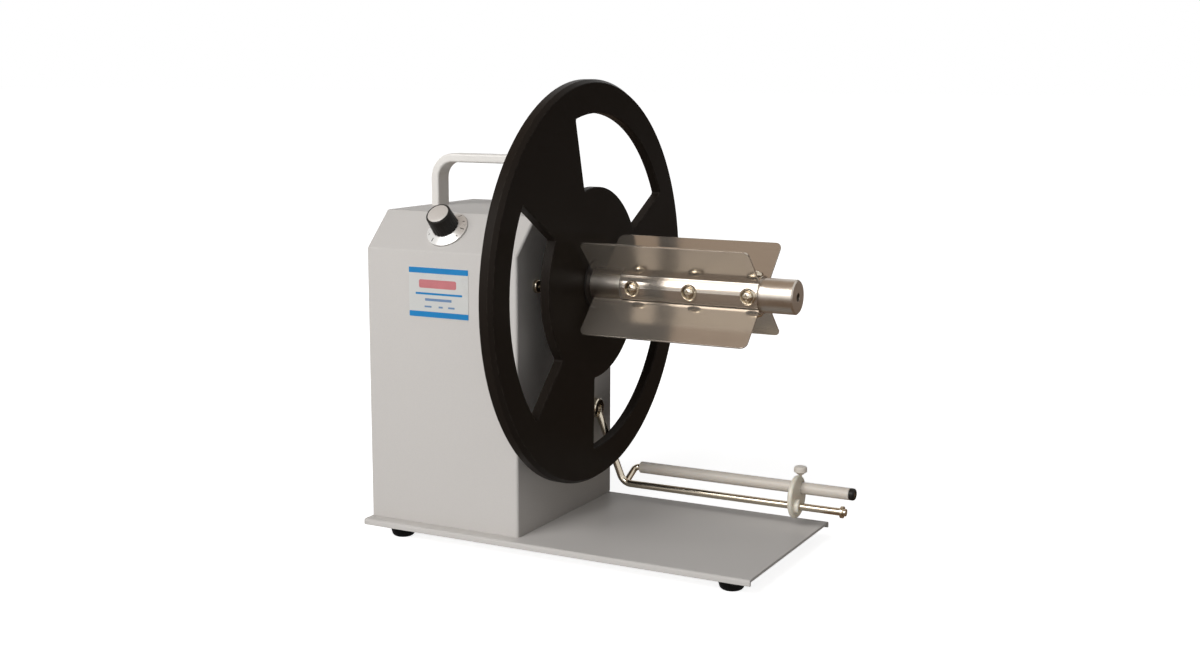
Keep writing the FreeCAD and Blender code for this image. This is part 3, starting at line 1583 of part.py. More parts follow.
def switch_housing():
    """Snap-in frame of the power switch with its bezel and terminals."""
    centre = rocker_pivot()
    outer = back_y + switch_bezel
    bezel = block(centre.x - switch_width / 2, centre.x + switch_width / 2, back_y, outer,
                  centre.z - switch_height / 2, centre.z + switch_height / 2)
    rim = [edge for edge in bezel.Edges if near(edge.BoundBox.YMin, outer)]
    bezel = bezel.makeFillet(switch_edge_radius, rim)
    body = block(centre.x - switch_body_width / 2, centre.x + switch_body_width / 2, back_y - switch_depth,
                 back_y,
                 centre.z - switch_body_height / 2, centre.z + switch_body_height / 2)
    half_lug = switch_lug_width / 2
    half_sheet = switch_lug_sheet / 2
    lugs = [block(centre.x - half_lug, centre.x + half_lug, back_y - switch_depth - switch_lug_length,
                  back_y - switch_depth, centre.z + z - half_sheet, centre.z + z + half_sheet)
            for z in (-switch_lug_offset, switch_lug_offset)]
    frame = fused([bezel, body] + lugs)
    cavity = block(centre.x - switch_cavity_width / 2, centre.x + switch_cavity_width / 2,
                   outer - switch_cavity_depth, outer + past,
                   centre.z - switch_cavity_height / 2, centre.z + switch_cavity_height / 2)
    frame = frame.cut(cavity)
    reach = switch_cavity_width / 2 - rocker_clearance + rocker_pin_length + rocker_pin_end_gap
    pins = rod_along_x(rocker_pin_radius + running_clearance, centre.x - reach, centre.x + reach, centre.y,
                       centre.z)
    return frame.cut(pins)


def power_rocker():
    """Rocker with a dipped face and round ends about its pins, tilted to its off side."""
    centre = rocker_pivot()
    half_width = switch_cavity_width / 2 - rocker_clearance
    radius = switch_cavity_height / 2 - rocker_clearance
    x0 = centre.x - half_width
    x1 = centre.x + half_width
    drum = rod_along_x(radius, x0, x1, centre.y, centre.z)
    high = centre.y + rocker_crest + rocker_dip
    dip = centre.y + rocker_crest
    low = centre.y - rocker_back
    keep = side_prism([(low, centre.z - radius), (high, centre.z - radius), (dip, centre.z),
                       (high, centre.z + radius), (low, centre.z + radius)], x0, x1)
    rocker = drum.common(keep)
    pins = rod_along_x(rocker_pin_radius, x0 - rocker_pin_length, x1 + rocker_pin_length, centre.y, centre.z)
    return turned(fused([rocker, pins]), centre, X, -rocker_tilt)


def jack_x():
    return face_x - jack_from_right


def jack_z():
    return base_top + jack_centre


def dc_jack():
    """Threaded inlet with a centre pin, put in from outside."""
    x = jack_x()
    z = jack_z()
    flange = rod_along_y(jack_flange_radius, back_y, back_y + jack_flange, x, z)
    barrel = rod_along_y(jack_thread_radius, back_y - jack_depth, back_y, x, z)
    mouth = back_y + jack_flange
    jack = fused([flange, barrel]).cut(rod_along_y(jack_bore_radius, mouth - jack_bore_depth, mouth + past, x,
                                                   z))
    pin = rod_along_y(jack_pin_radius, mouth - jack_bore_depth - past, mouth - jack_pin_recess, x, z)
    half_width = jack_lug_width / 2
    half_sheet = jack_lug_sheet / 2
    lugs = [block(x + side - half_width, x + side + half_width, back_y - jack_depth - jack_lug_length,
                  back_y - jack_depth, z - half_sheet, z + half_sheet)
            for side in (-jack_lug_offset, jack_lug_offset)]
    return fused([jack, pin] + lugs)


def dc_jack_nut():
    nut = hexagon(jack_nut_flats, jack_nut_height, at(jack_x(), cover_inner_y, jack_z()), -Y)
    return nut.cut(rod_along_y(jack_thread_radius, cover_inner_y - 2 * jack_nut_height, cover_inner_y + past,
                               jack_x(), jack_z()))


def lead_start(way):
    """Top of the terminal block at one of its ways."""
    x, z = terminal_places()[way]
    return at(x, board_front_y - terminal_depth / 2, z + terminal_height / 2)


def lead(way, places, end, radius=wire_radius):
    """Lead that rises from a terminal and runs by the given places to its end."""
    start = lead_start(way)
    rise = start + at(0, 0, lead_rise + lead_step * way)
    return bent_rod([start, rise] + places + [end], radius, wire_bend)


def motor_leads():
    """Two leads to the lugs at the motor's closed end."""
    x = face_x - bracket_back - gearbox_length - motor_length - (motor_lug + wire_lug_gap) / 2
    y = motor_radius / 2
    upper = at(x, y + motor_lug_width / 2, gearbox_z)
    lower = at(x, -y, gearbox_z - motor_lug_sheet / 2)
    below = gearbox_z - 2 * wire_bend
    return [lead(1, [at(x, upper.y + 4 * wire_bend, gearbox_z)], upper),
            lead(0, [at(x, upper.y + 4 * wire_bend, below), at(x, -y, below)], lower)]


def inlet_leads():
    """Two leads to the lugs of the inlet."""
    leads = []
    for way, side in ((5, -jack_lug_offset), (6, jack_lug_offset)):
        end = at(jack_x() + side, back_y - jack_depth - jack_lug_length, jack_z())
        turn = end - Y * (2.5 * wire_bend)
        low = at(end.x - 2 * wire_bend, turn.y, end.z - 4 * wire_bend)
        leads.append(lead(way, [low, turn], end))
    return leads


def switch_leads():
    """Two leads that climb side by side to the lugs of the switch."""
    leads = []
    for way, side in ((3, -switch_lug_offset), (4, switch_lug_offset)):
        end = at(switch_x(), back_y - switch_depth - switch_lug_length, switch_z() + side)
        turn = at(end.x, (gearbox_radius + end.y) / 2 - 0.3 * side, end.z)
        low = at(turn.x, turn.y, gearbox_z - side)
        leads.append(lead(way, [low, turn], end))
    return leads


def knob_lead():
    """Cable over the motor to the lugs of the potentiometer."""
    end = slope_frame().multVec(at(0, -pot_radius - pot_lug_length, -sheet - pot_depth / 3)) - Z
    over = gearbox_z + gearbox_radius + 2 * wire_bend
    side = gearbox_radius + cable_radius + 3
    return lead(2, [at(end.x, side, over), at(end.x, end.y + wire_bend, over)], end, cable_radius)


def sensor_lead():
    """Cable down to the sensor."""
    end = at(sensor_slot_x() - sensor_slot / 2 - sensor_leg, pivot_y, sensor_floor_z() + sensor_lead_rise)
    turn = end - X * (1.7 * wire_bend)
    start = lead_start(7)
    high = at(turn.x, pivot_y, start.z + 2 * wire_bend)
    return bent_rod([start, at(start.x, start.y, high.z), high, turn, end], cable_radius, cable_bend)


def wiring():
    """Leads from the terminal block to the motor, inlet, switch, knob and sensor."""
    return motor_leads() + inlet_leads() + switch_leads() + [knob_lead(), sensor_lead()]


parts = {
    "base_plate": base_plate,
    "rubber_feet": rubber_feet,
    "base_screws": base_screws,
    "housing_shell": housing_shell,
    "rear_cover": rear_cover,
    "rear_cover_screws": rear_cover_screws,
    "carry_handle": carry_handle,
    "handle_screws": handle_screws,
    "front_label": front_label,
    "bearing_housing": bearing_housing,
    "bearing_screws": bearing_screws,
    "spindle_bearings": spindle_bearings,
    "spindle_shaft": spindle_shaft,
    "flange_disc": flange_disc,
    "disc_hub": disc_hub,
    "hub_screws": hub_screws,
    "set_screws": set_screws,
    "wing_front": lambda: wing(180),
    "wing_top": lambda: wing(90),
    "wing_back": lambda: wing(0),
    "wing_bottom": lambda: wing(270),
    "wing_screws": wing_screws,
    "spindle_gear": spindle_gear,
    "spindle_circlip": spindle_circlip,
    "motor_output_shaft": motor_output_shaft,
    "drive_pinion": drive_pinion,
    "motor_bracket": motor_bracket,
    "gearbox": gearbox,
    "gearbox_screws": gearbox_screws,
    "motor_can": motor_can,
    "potentiometer": potentiometer,
    "pot_nut": pot_nut,
    "pot_shaft": pot_shaft,
    "knob_skirt": knob_skirt,
    "speed_knob": speed_knob,
    "knob_cap": knob_cap,
    "pivot_boss": pivot_boss,
    "pivot_bushes": pivot_bushes,
    "arm_pivot_shaft": arm_pivot_shaft,
    "arm_hub": arm_hub,
    "tension_arm": tension_arm,
    "rod_end_collar": rod_end_collar,
    "roller_tube": roller_tube,
    "roller_end_cap": roller_end_cap,
    "guide_disc": guide_disc,
    "thumb_screw": thumb_screw,
    "arm_vane": arm_vane,
    "pivot_clip": pivot_clip,
    "opto_sensor": opto_sensor,
    "sensor_bracket": sensor_bracket,
    "control_board": control_board,
    "board_standoffs": board_standoffs,
    "heat_sink": heat_sink,
    "capacitors": capacitors,
    "terminal_block": terminal_block,
    "switch_housing": switch_housing,
    "power_rocker": power_rocker,
    "dc_jack": dc_jack,
    "dc_jack_nut": dc_jack_nut,
    "wiring": wiring,
}

os.makedirs("parts", exist_ok=True)
for name, make in parts.items():
    made = make()
    shape = Part.makeCompound(made) if isinstance(made, list) else made
    shape.exportStep("parts/" + name + ".step")
    print(name, len(shape.Solids), "valid" if shape.isValid() else "INVALID", round(shape.Volume, 1))
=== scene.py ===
import json
import math

import bmesh
import bpy
from mathutils import Matrix, Vector


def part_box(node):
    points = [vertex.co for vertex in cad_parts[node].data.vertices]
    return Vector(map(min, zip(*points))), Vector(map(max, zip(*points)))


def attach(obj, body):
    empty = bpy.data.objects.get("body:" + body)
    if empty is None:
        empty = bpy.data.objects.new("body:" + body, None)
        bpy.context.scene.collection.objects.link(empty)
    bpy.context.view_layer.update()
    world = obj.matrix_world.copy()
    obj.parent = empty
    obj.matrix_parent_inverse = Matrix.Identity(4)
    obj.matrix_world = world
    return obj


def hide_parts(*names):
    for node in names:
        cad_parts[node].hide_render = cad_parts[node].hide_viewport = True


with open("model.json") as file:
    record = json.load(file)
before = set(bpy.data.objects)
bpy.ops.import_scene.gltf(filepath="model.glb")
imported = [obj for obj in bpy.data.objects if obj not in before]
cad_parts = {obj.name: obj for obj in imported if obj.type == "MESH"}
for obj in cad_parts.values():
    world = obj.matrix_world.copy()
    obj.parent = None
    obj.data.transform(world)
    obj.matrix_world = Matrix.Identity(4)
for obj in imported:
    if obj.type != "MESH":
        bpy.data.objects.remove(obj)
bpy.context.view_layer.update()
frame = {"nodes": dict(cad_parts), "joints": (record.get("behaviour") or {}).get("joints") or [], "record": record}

scene = bpy.context.scene
scene.view_settings.view_transform = "Standard"
nodes = frame["nodes"]

MM = 0.001
WHITE = (1.0, 1.0, 1.0, 1.0)


# Node trees and materials
class Tree:
    """A small writer for one node tree. A socket is given by its name, or as _0, _1 by its place."""

    def __init__(self, owner):
        owner.use_nodes = True
        self.tree = owner.node_tree
        self.tree.nodes.clear()

    def add(self, kind, settings=None, **sockets):
        node = self.tree.nodes.new(kind)
        for key, value in (settings or {}).items():
            setattr(node, key, value)
        for key, value in sockets.items():
            self.put(node, key, value)
        return node

    def put(self, node, key, value):
        by_place = key[0] == "_" and key[1:].isdigit()
        self.join(node.inputs[int(key[1:]) if by_place else key.replace("_", " ")], value)

    def join(self, socket, value):
        if isinstance(value, bpy.types.NodeSocket):
            self.tree.links.new(value, socket)
        else:
            socket.default_value = value

    def noise(self, where, scale, detail=2.0, rough=0.5):
        node = self.add("ShaderNodeTexNoise", None, Vector=where, Scale=scale, Detail=detail, Roughness=rough)
        return node.outputs["Fac"]

    def stretch(self, where, scale):
        return self.add("ShaderNodeMapping", None, Vector=where, Scale=scale).outputs[0]

    def spread(self, value, low, high, start=0.0, end=1.0):
        """The value, with start to end mapped to low to high."""
        node = self.add("ShaderNodeMapRange", None, Value=value)
        for place, number in ((1, start), (2, end), (3, low), (4, high)):
            node.inputs[place].default_value = number
        return node.outputs[0]

    def sum(self, a, b, how="ADD"):
        return self.add("ShaderNodeMath", {"operation": how}, _0=a, _1=b).outputs[0]

    def mix(self, share, a, b, how="MIX"):
        node = self.add("ShaderNodeMix", {"data_type": "RGBA", "blend_type": how})
        for place, value in ((0, share), (6, a), (7, b)):
            self.join(node.inputs[place], value)
        return node.outputs[2]

    def finish(self, kind, shader):
        self.add(kind, None, Surface=shader.outputs[0])


def rgb(red, green, blue):
    """Display colour, 0 to 255, as linear light."""
    def linear(level):
        level /= 255
        return level / 12.92 if level <= 0.04045 else ((level + 0.055) / 1.055) ** 2.4
    return (linear(red), linear(green), linear(blue), 1.0)


def shade(colour, factor):
    return (colour[0] * factor, colour[1] * factor, colour[2] * factor, 1.0)


# Parts of a noise's range that are spread out, and how far an edge turns before it is lightened, partly as wear and
# partly as a painted highlight
MIDDLE_RANGE = (0.25, 0.75)
NARROW_RANGE = (0.3, 0.7)
WEAR_AND_HIGHLIGHT_RANGE = (0.42, 0.62)
WEAR_AND_HIGHLIGHT_TURN = (0.80, 0.97)
WEAR_AND_HIGHLIGHT_SCALE = 260.0
TURNED_STRENGTH = 0.35
TURNED_ROUGH = 0.05
BEVEL_SAMPLES = 4


def turning_lines(t, where, normal, roughness, turned):
    """Fine lines round an axis, as a lathe or a rolling mill leaves: turned is (axis, lines per metre, depth)."""
    axis, lines, depth = turned
    apart = t.add("ShaderNodeSeparateXYZ", None, Vector=where).outputs[axis]
    along = t.add("ShaderNodeCombineXYZ", None, X=t.sum(apart, lines, "MULTIPLY")).outputs[0]
    line = t.noise(along, 1.0, 4.0, 0.7)
    bump = t.add("ShaderNodeBump", None, Height=line, Strength=TURNED_STRENGTH, Distance=depth, Normal=normal)
    return bump.outputs[0], t.sum(roughness, t.spread(line, -TURNED_ROUGH, TURNED_ROUGH, *NARROW_RANGE))


def worn_and_highlit_edges(t, where, normal, base, edge):
    """Rounds the edges in the shading and lightens them in blotches, partly as wear and partly as a painted
    highlight: edge is (radius, colour of the wear and painted highlight, share).
    """
    radius, wear_and_highlight, share = edge
    rounded = t.add("ShaderNodeBevel", {"samples": BEVEL_SAMPLES}, Radius=radius, Normal=normal).outputs[0]
    flat = t.add("ShaderNodeNewGeometry").outputs["Normal"]
    dot = t.add("ShaderNodeVectorMath", {"operation": "DOT_PRODUCT"}, _0=rounded, _1=flat).outputs["Value"]
    blotches = t.spread(t.noise(where, WEAR_AND_HIGHLIGHT_SCALE, 3.0), 0.0, 1.0, *WEAR_AND_HIGHLIGHT_RANGE)
    mask = t.sum(t.spread(dot, 1.0, 0.0, *WEAR_AND_HIGHLIGHT_TURN), blotches, "MULTIPLY")
    return rounded, t.mix(t.sum(mask, share, "MULTIPLY"), base, wear_and_highlight)


def material(name, colour, rough, metallic, patch, grain, relief, rough_spread, edge=None, stretch=None,
             turned=None, extras=None, specular=0.5):
    """A surface with soft patches of colour, a fine grain, a relief, and edges that are lightened if asked for,
    partly as wear and partly as a painted highlight.
    patch and grain are (features per metre, share of the colour).
    relief is (features per metre, strength, depth)."""
    mat = bpy.data.materials.new(name)
    t = Tree(mat)
    where = t.add("ShaderNodeTexCoord").outputs["Object"]
    fine = t.stretch(where, stretch) if stretch else where
    large = t.noise(where, patch[0], 3.0, 0.55)
    small = t.noise(fine, grain[0], 2.0, 0.6)
    patches = t.mix(large, shade(colour, 1 - patch[1]), shade(colour, 1 + patch[1]))
    grains = t.mix(t.spread(small, 0.0, 1.0, *NARROW_RANGE), shade(WHITE, 1 - grain[1]), WHITE)
    base = t.mix(1.0, patches, grains, "MULTIPLY")
    roughness = t.sum(t.spread(large, -rough_spread, rough_spread, *MIDDLE_RANGE), rough)
    roughness = t.sum(roughness, t.spread(small, -rough_spread / 2, rough_spread / 2, *NARROW_RANGE))
    normal = t.add("ShaderNodeBump", None, Height=t.noise(fine, relief[0], 3.0, 0.6), Strength=relief[1],
                   Distance=relief[2]).outputs[0]
    if turned:
        normal, roughness = turning_lines(t, where, normal, roughness, turned)
    if edge:
        normal, base = worn_and_highlit_edges(t, where, normal, base, edge)
    shader = t.add("ShaderNodeBsdfPrincipled", None, Base_Color=base, Roughness=roughness, Metallic=metallic,
                   Normal=normal, Specular_IOR_Level=specular)
    for key, value in (extras or {}).items():
        shader.inputs[key].default_value = value
    t.finish("ShaderNodeOutputMaterial", shader)
    return mat


# The finishes, one for each slot of the record, and inks for the sticker and the dial
# The edge colour in each finish makes its edges lighter: partly wear, partly a painted highlight
paint = material("painted_sheet", rgb(204, 200, 196), rough=0.42, metallic=0.0, patch=(9.0, 0.018),
                 grain=(1600.0, 0.03), relief=(1300.0, 0.10, 0.00012), rough_spread=0.05,
                 edge=(0.0006, rgb(226, 224, 220), 0.5), specular=0.05)
disc_black = material("black_disc", rgb(33, 28, 24), rough=0.40, metallic=0.0, patch=(16.0, 0.14),
                      grain=(1500.0, 0.10), relief=(1500.0, 0.10, 0.0001), rough_spread=0.07,
                      edge=(0.0009, rgb(96, 90, 82), 0.55), specular=0.05)
blade = material("polished_steel", rgb(192, 182, 170), rough=0.13, metallic=0.78, patch=(26.0, 0.06),
                 grain=(900.0, 0.04), relief=(600.0, 0.03, 0.00003), rough_spread=0.03,
                 edge=(0.0004, rgb(230, 222, 208), 0.6), stretch=(0.06, 1.0, 1.0))
shaft = material("shaft_steel", rgb(196, 188, 178), rough=0.34, metallic=1.0, patch=(40.0, 0.07),
                 grain=(700.0, 0.05), relief=(900.0, 0.04, 0.00004), rough_spread=0.05,
                 edge=(0.0003, rgb(236, 230, 220), 0.5), turned=("X", 5200.0, 0.00004))
nickel = material("nickel", rgb(204, 194, 176), rough=0.17, metallic=1.0, patch=(60.0, 0.06),
                  grain=(900.0, 0.04), relief=(1200.0, 0.03, 0.00003), rough_spread=0.05,
                  edge=(0.0002, rgb(240, 235, 225), 0.5))
zinc = material("zinc", rgb(176, 176, 172), rough=0.34, metallic=1.0, patch=(220.0, 0.10),
                grain=(1800.0, 0.06), relief=(1500.0, 0.08, 0.00005), rough_spread=0.08,
                edge=(0.0002, rgb(225, 225, 222), 0.5))
blackened = material("blackened_steel", rgb(30, 26, 24), rough=0.45, metallic=0.0, patch=(60.0, 0.12),
                     grain=(1600.0, 0.10), relief=(1600.0, 0.10, 0.00005), rough_spread=0.08,
                     edge=(0.0003, rgb(58, 54, 50), 0.6), specular=0.15)
handle_metal = material("handle_aluminium", rgb(236, 233, 228), rough=0.32, metallic=0.12,
                        patch=(30.0, 0.03), grain=(1500.0, 0.05), relief=(1800.0, 0.08, 0.00004),
                        rough_spread=0.05, edge=(0.0004, rgb(240, 240, 238), 0.5))
knob_metal = material("knob_aluminium", rgb(222, 220, 217), rough=0.30, metallic=0.45, patch=(60.0, 0.03),
                      grain=(1800.0, 0.05), relief=(1500.0, 0.06, 0.00004), rough_spread=0.05,
                      edge=(0.0002, rgb(240, 240, 240), 0.5))
black_plastic = material("black_plastic", rgb(34, 31, 29), rough=0.42, metallic=0.0, patch=(60.0, 0.10),
                         grain=(2200.0, 0.12), relief=(2200.0, 0.15, 0.00006), rough_spread=0.06,
                         edge=(0.0002, rgb(86, 82, 78), 0.4), specular=0.2)
rubber = material("black_rubber", rgb(15, 14, 13), rough=0.70, metallic=0.0, patch=(50.0, 0.20),
                  grain=(1500.0, 0.15), relief=(1200.0, 0.25, 0.0001), rough_spread=0.08,
                  edge=(0.0005, rgb(44, 42, 40), 0.4), specular=0.06)
nylon = material("white_nylon", rgb(218, 210, 200), rough=0.42, metallic=0.0, patch=(70.0, 0.05),
                 grain=(1300.0, 0.03), relief=(900.0, 0.06, 0.00008), rough_spread=0.06,
                 edge=(0.0003, rgb(240, 236, 228), 0.5),
                 extras={"Subsurface Weight": 0.25, "Subsurface Scale": 0.002, "Subsurface Radius": (1.0, 0.8, 0.6)})
grey_plastic = material("grey_plastic", rgb(226, 218, 207), rough=0.40, metallic=0.0, patch=(90.0, 0.08),
                        grain=(1500.0, 0.05), relief=(1200.0, 0.08, 0.00006), rough_spread=0.06,
                        edge=(0.0002, rgb(232, 226, 216), 0.5))
clear_nylon = material("clear_nylon", rgb(246, 238, 222), rough=0.36, metallic=0.0, patch=(70.0, 0.05),
                       grain=(1300.0, 0.04), relief=(900.0, 0.06, 0.00008), rough_spread=0.06,
                       edge=(0.0003, rgb(244, 240, 230), 0.5),
                       extras={"Transmission Weight": 0.12, "Subsurface Weight": 0.3,
                               "Subsurface Scale": 0.003, "Subsurface Radius": (1.0, 0.8, 0.6)})


def ink(name, colour, rough, patch, specular=0.5):
    return material(name, colour, rough=rough, metallic=0.0, patch=(150.0, patch), grain=(2400.0, 0.08),
                    relief=(1800.0, 0.04, 0.00002), rough_spread=0.05, specular=specular)


blue_ink = ink("blue_ink", rgb(16, 128, 190), 0.34, 0.10)
pale_ink = ink("pale_ink", rgb(110, 140, 176), 0.36, 0.12)
red_ink = ink("red_ink", rgb(198, 120, 124), 0.36, 0.12)
dial_ink = ink("dial_ink", rgb(40, 38, 36), 0.45, 0.12, 0.2)
film = material("label_film", rgb(206, 206, 203), rough=0.30, metallic=0.0, patch=(40.0, 0.02),
                grain=(2600.0, 0.03), relief=(900.0, 0.03, 0.00004), rough_spread=0.05)
cast = material("cast_aluminium", rgb(160, 158, 154), rough=0.45, metallic=1.0, patch=(90.0, 0.08),
                grain=(1500.0, 0.10), relief=(1200.0, 0.20, 0.00008), rough_spread=0.08,
                edge=(0.0003, rgb(220, 218, 214), 0.5))
bearing = material("bearing_steel", rgb(196, 196, 196), rough=0.16, metallic=1.0, patch=(80.0, 0.05),
                   grain=(1600.0, 0.04), relief=(1500.0, 0.03, 0.00003), rough_spread=0.04,
                   turned=("X", 4200.0, 0.00003))
gear = material("gear_steel", rgb(138, 136, 134), rough=0.38, metallic=1.0, patch=(90.0, 0.10),
                grain=(1500.0, 0.08), relief=(1400.0, 0.10, 0.00005), rough_spread=0.08,
                edge=(0.0002, rgb(205, 203, 200), 0.5))
motor = material("motor_steel", rgb(150, 150, 150), rough=0.34, metallic=1.0, patch=(40.0, 0.08),
                 grain=(1500.0, 0.06), relief=(1500.0, 0.06, 0.00004), rough_spread=0.06,
                 edge=(0.0003, rgb(215, 215, 215), 0.5), turned=("X", 2600.0, 0.00004))
bronze = material("bronze", rgb(176, 138, 88), rough=0.40, metallic=1.0, patch=(120.0, 0.12),
                  grain=(2000.0, 0.15), relief=(2000.0, 0.20, 0.00005), rough_spread=0.08)
board = material("board", rgb(34, 96, 62), rough=0.32, metallic=0.0, patch=(60.0, 0.12),
                 grain=(1500.0, 0.10), relief=(1200.0, 0.08, 0.00005), rough_spread=0.06)
sleeve = material("capacitor_sleeve", rgb(40, 46, 72), rough=0.30, metallic=0.0, patch=(80.0, 0.10),
                  grain=(1500.0, 0.06), relief=(900.0, 0.05, 0.00005), rough_spread=0.05)
terminal = material("terminal_plastic", rgb(56, 120, 86), rough=0.36, metallic=0.0, patch=(80.0, 0.08),
                    grain=(1500.0, 0.06), relief=(1200.0, 0.10, 0.00005), rough_spread=0.05,
                    edge=(0.0003, rgb(110, 165, 135), 0.4))
jack = material("jack_body", rgb(36, 35, 35), rough=0.34, metallic=0.0, patch=(80.0, 0.10),
                grain=(1800.0, 0.08), relief=(1800.0, 0.12, 0.00005), rough_spread=0.05,
                edge=(0.0002, rgb(90, 88, 86), 0.4))
wire = material("wire_sleeve", rgb(168, 46, 38), rough=0.40, metallic=0.0, patch=(90.0, 0.10),
                grain=(1500.0, 0.06), relief=(900.0, 0.06, 0.00005), rough_spread=0.06)

by_slot = {
    "painted_sheet": paint, "black_disc": disc_black, "polished_steel": blade, "shaft_steel": shaft,
    "nickel": nickel, "zinc": zinc, "blackened_steel": blackened, "handle_aluminium": handle_metal,
    "knob_aluminium": knob_metal, "black_plastic": black_plastic, "black_rubber": rubber,
    "white_nylon": nylon, "grey_plastic": grey_plastic, "label_film": film, "cast_aluminium": cast,
    "bearing_steel": bearing, "gear_steel": gear, "motor_steel": motor, "bronze": bronze, "board": board,
    "capacitor_sleeve": sleeve, "terminal_plastic": terminal, "jack_body": jack, "wire_sleeve": wire,
}
for part in frame["record"]["subparts"]:
    mesh = nodes[part["node"]].data
    mesh.materials.clear()
    mesh.materials.append(by_slot[part["material_slot"]])
nodes["guide_disc"].data.materials[0] = clear_nylon


# Pieces that the solids don't hold
def link(name, bm, mat):
    """A mesh object from a bmesh, with one material and flat faces."""
    mesh = bpy.data.meshes.new(name)
    bm.to_mesh(mesh)
    bm.free()
    mesh.materials.append(mat)
    for face in mesh.polygons:
        face.use_smooth = False
    item = bpy.data.objects.new(name, mesh)
    scene.collection.objects.link(item)
    return item


# A corner stays just under half of the plate's side
HALVES = 2.001


def slab(bm, x0, x1, z0, z1, y0, y1, corner, steps=5):
    """Thin plate that faces the front, with rounded corners."""
    corner = min(corner, (x1 - x0) / HALVES, (z1 - z0) / HALVES)
    left, right_side, low_side, high_side = x0 + corner, x1 - corner, z0 + corner, z1 - corner
    ring = []
    for cx, cz, start in ((right_side, high_side, 0), (left, high_side, 90), (left, low_side, 180),
                          (right_side, low_side, 270)):
        for step in range(steps + 1):
            angle = math.radians(start + 90 * step / steps)
            ring.append((cx + corner * math.cos(angle), cz + corner * math.sin(angle)))
    front = [bm.verts.new((x, y0, z)) for x, z in ring]
    rear = [bm.verts.new((x, y1, z)) for x, z in ring]
    bm.faces.new(front)
    for i in range(len(ring)):
        j = (i + 1) % len(ring)
        bm.faces.new((front[j], front[i], rear[i], rear[j]))


# The sticker on the housing's front, a little taller than the solid in its place
label_low, label_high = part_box("front_label")
SHEET_BELOW, SHEET_ABOVE = 2.0 * MM, 2.1 * MM
PRINT_RISE = 0.02 * MM
SHEET_CORNER = 1.2 * MM
sheet_foot, sheet_top = label_low.z - SHEET_BELOW, label_high.z + SHEET_ABOVE


def printed(name, rows, mat, corner):
    """Ink on the sticker: rows of (left, right, low, high) as shares of its width and height."""
    bm = bmesh.new()
    wide, tall = label_high.x - label_low.x, sheet_top - sheet_foot
    for left, far, foot, top in rows:
        slab(bm, label_low.x + left * wide, label_low.x + far * wide, sheet_foot + foot * tall,
             sheet_foot + top * tall, label_low.y - PRINT_RISE, label_low.y + PRINT_RISE, corner)
    item = link(name, bm, mat)
    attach(item, "root")


bm = bmesh.new()
slab(bm, label_low.x, label_high.x, sheet_foot, sheet_top, label_low.y, label_high.y, SHEET_CORNER, 8)
sheet = link("label_sheet", bm, film)
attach(sheet, "root")
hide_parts("front_label")
printed("label_bands", [(0.0, 1.0, 0.875, 0.985), (0.0, 1.0, 0.015, 0.125)], blue_ink, 0.5 * MM)
printed("label_rule", [(0.11, 0.90, 0.455, 0.495)], blue_ink, 0.3 * MM)
printed("label_lines", [(0.27, 0.72, 0.335, 0.385), (0.26, 0.38, 0.205, 0.240), (0.50, 0.57, 0.205, 0.240),
                        (0.66, 0.77, 0.205, 0.240)], pale_ink, 0.2 * MM)
printed("label_bar", [(0.17, 0.80, 0.585, 0.750)], red_ink, 1.2 * MM)

# Scale on the skirt: short and long lines on its cone, in the knob's own directions
dial = next(joint for joint in frame["joints"] if joint["child"] == "knob")
dial_place = Vector(dial["pos_m"])
dial_up = Vector(dial["axis"]).normalized()
dial_side = Vector((1.0, 0.0, 0.0))
dial_back = dial_up.cross(dial_side)
RIM_RADIUS, RIM_HEIGHT = 12.9 * MM, 1.2 * MM
CONE_TOP_RADIUS, CONE_TOP_HEIGHT = 9.2 * MM, 3.0 * MM
MARK_RISE, MARK_DEPTH, MARK_WIDTH = 0.03 * MM, 0.2 * MM, 0.55 * MM
LONG_MARK, SHORT_MARK = (0.22, 0.80), (0.34, 0.62)
MARKS = 11
SWEEP = math.radians(300)
BOX_FACES = ((0, 1, 2, 3), (7, 6, 5, 4), (0, 4, 5, 1), (1, 5, 6, 2), (2, 6, 7, 3), (3, 7, 4, 0))


def on_dial(turn, aside, share, rise):
    """Point on the skirt's cone: share 0 at its rim, 1 at its top."""
    radius = RIM_RADIUS + (CONE_TOP_RADIUS - RIM_RADIUS) * share
    height = RIM_HEIGHT + (CONE_TOP_HEIGHT - RIM_HEIGHT) * share + rise
    out = dial_side * math.sin(turn) + dial_back * math.cos(turn)
    along = dial_side * math.cos(turn) - dial_back * math.sin(turn)
    return dial_place + out * radius + along * aside + dial_up * height


bm = bmesh.new()
half_mark = MARK_WIDTH / 2
for number in range(MARKS):
    turn = SWEEP * (number / (MARKS - 1) - 0.5)
    start, end = LONG_MARK if number % 2 == 0 else SHORT_MARK
    outline = ((-half_mark, start), (half_mark, start), (half_mark, end), (-half_mark, end))
    corners = [bm.verts.new(on_dial(turn, aside, share, rise)) for rise in (MARK_RISE, -MARK_DEPTH)
               for aside, share in outline]
    for face in BOX_FACES:
        bm.faces.new([corners[i] for i in face])
bmesh.ops.recalc_face_normals(bm, faces=bm.faces)
marks = link("dial_marks", bm, dial_ink)
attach(marks, "knob")


# Camera, solved from the photo's straight edges
AZIMUTH, ELEVATION, ROLL = math.radians(27.3923), math.radians(9.3938), math.radians(0.1799)
CAMERA_PLACE = (0.414648, -0.811469, 0.280310)
SENSOR, LENS, CLIP_START = 36, 46.2525, 0.01


def direction(azimuth, elevation):
    """Unit vector from the object; azimuth 0 is the front, and it grows toward the right."""
    return Vector((math.sin(azimuth) * math.cos(elevation), -math.cos(azimuth) * math.cos(elevation),
                   math.sin(elevation)))


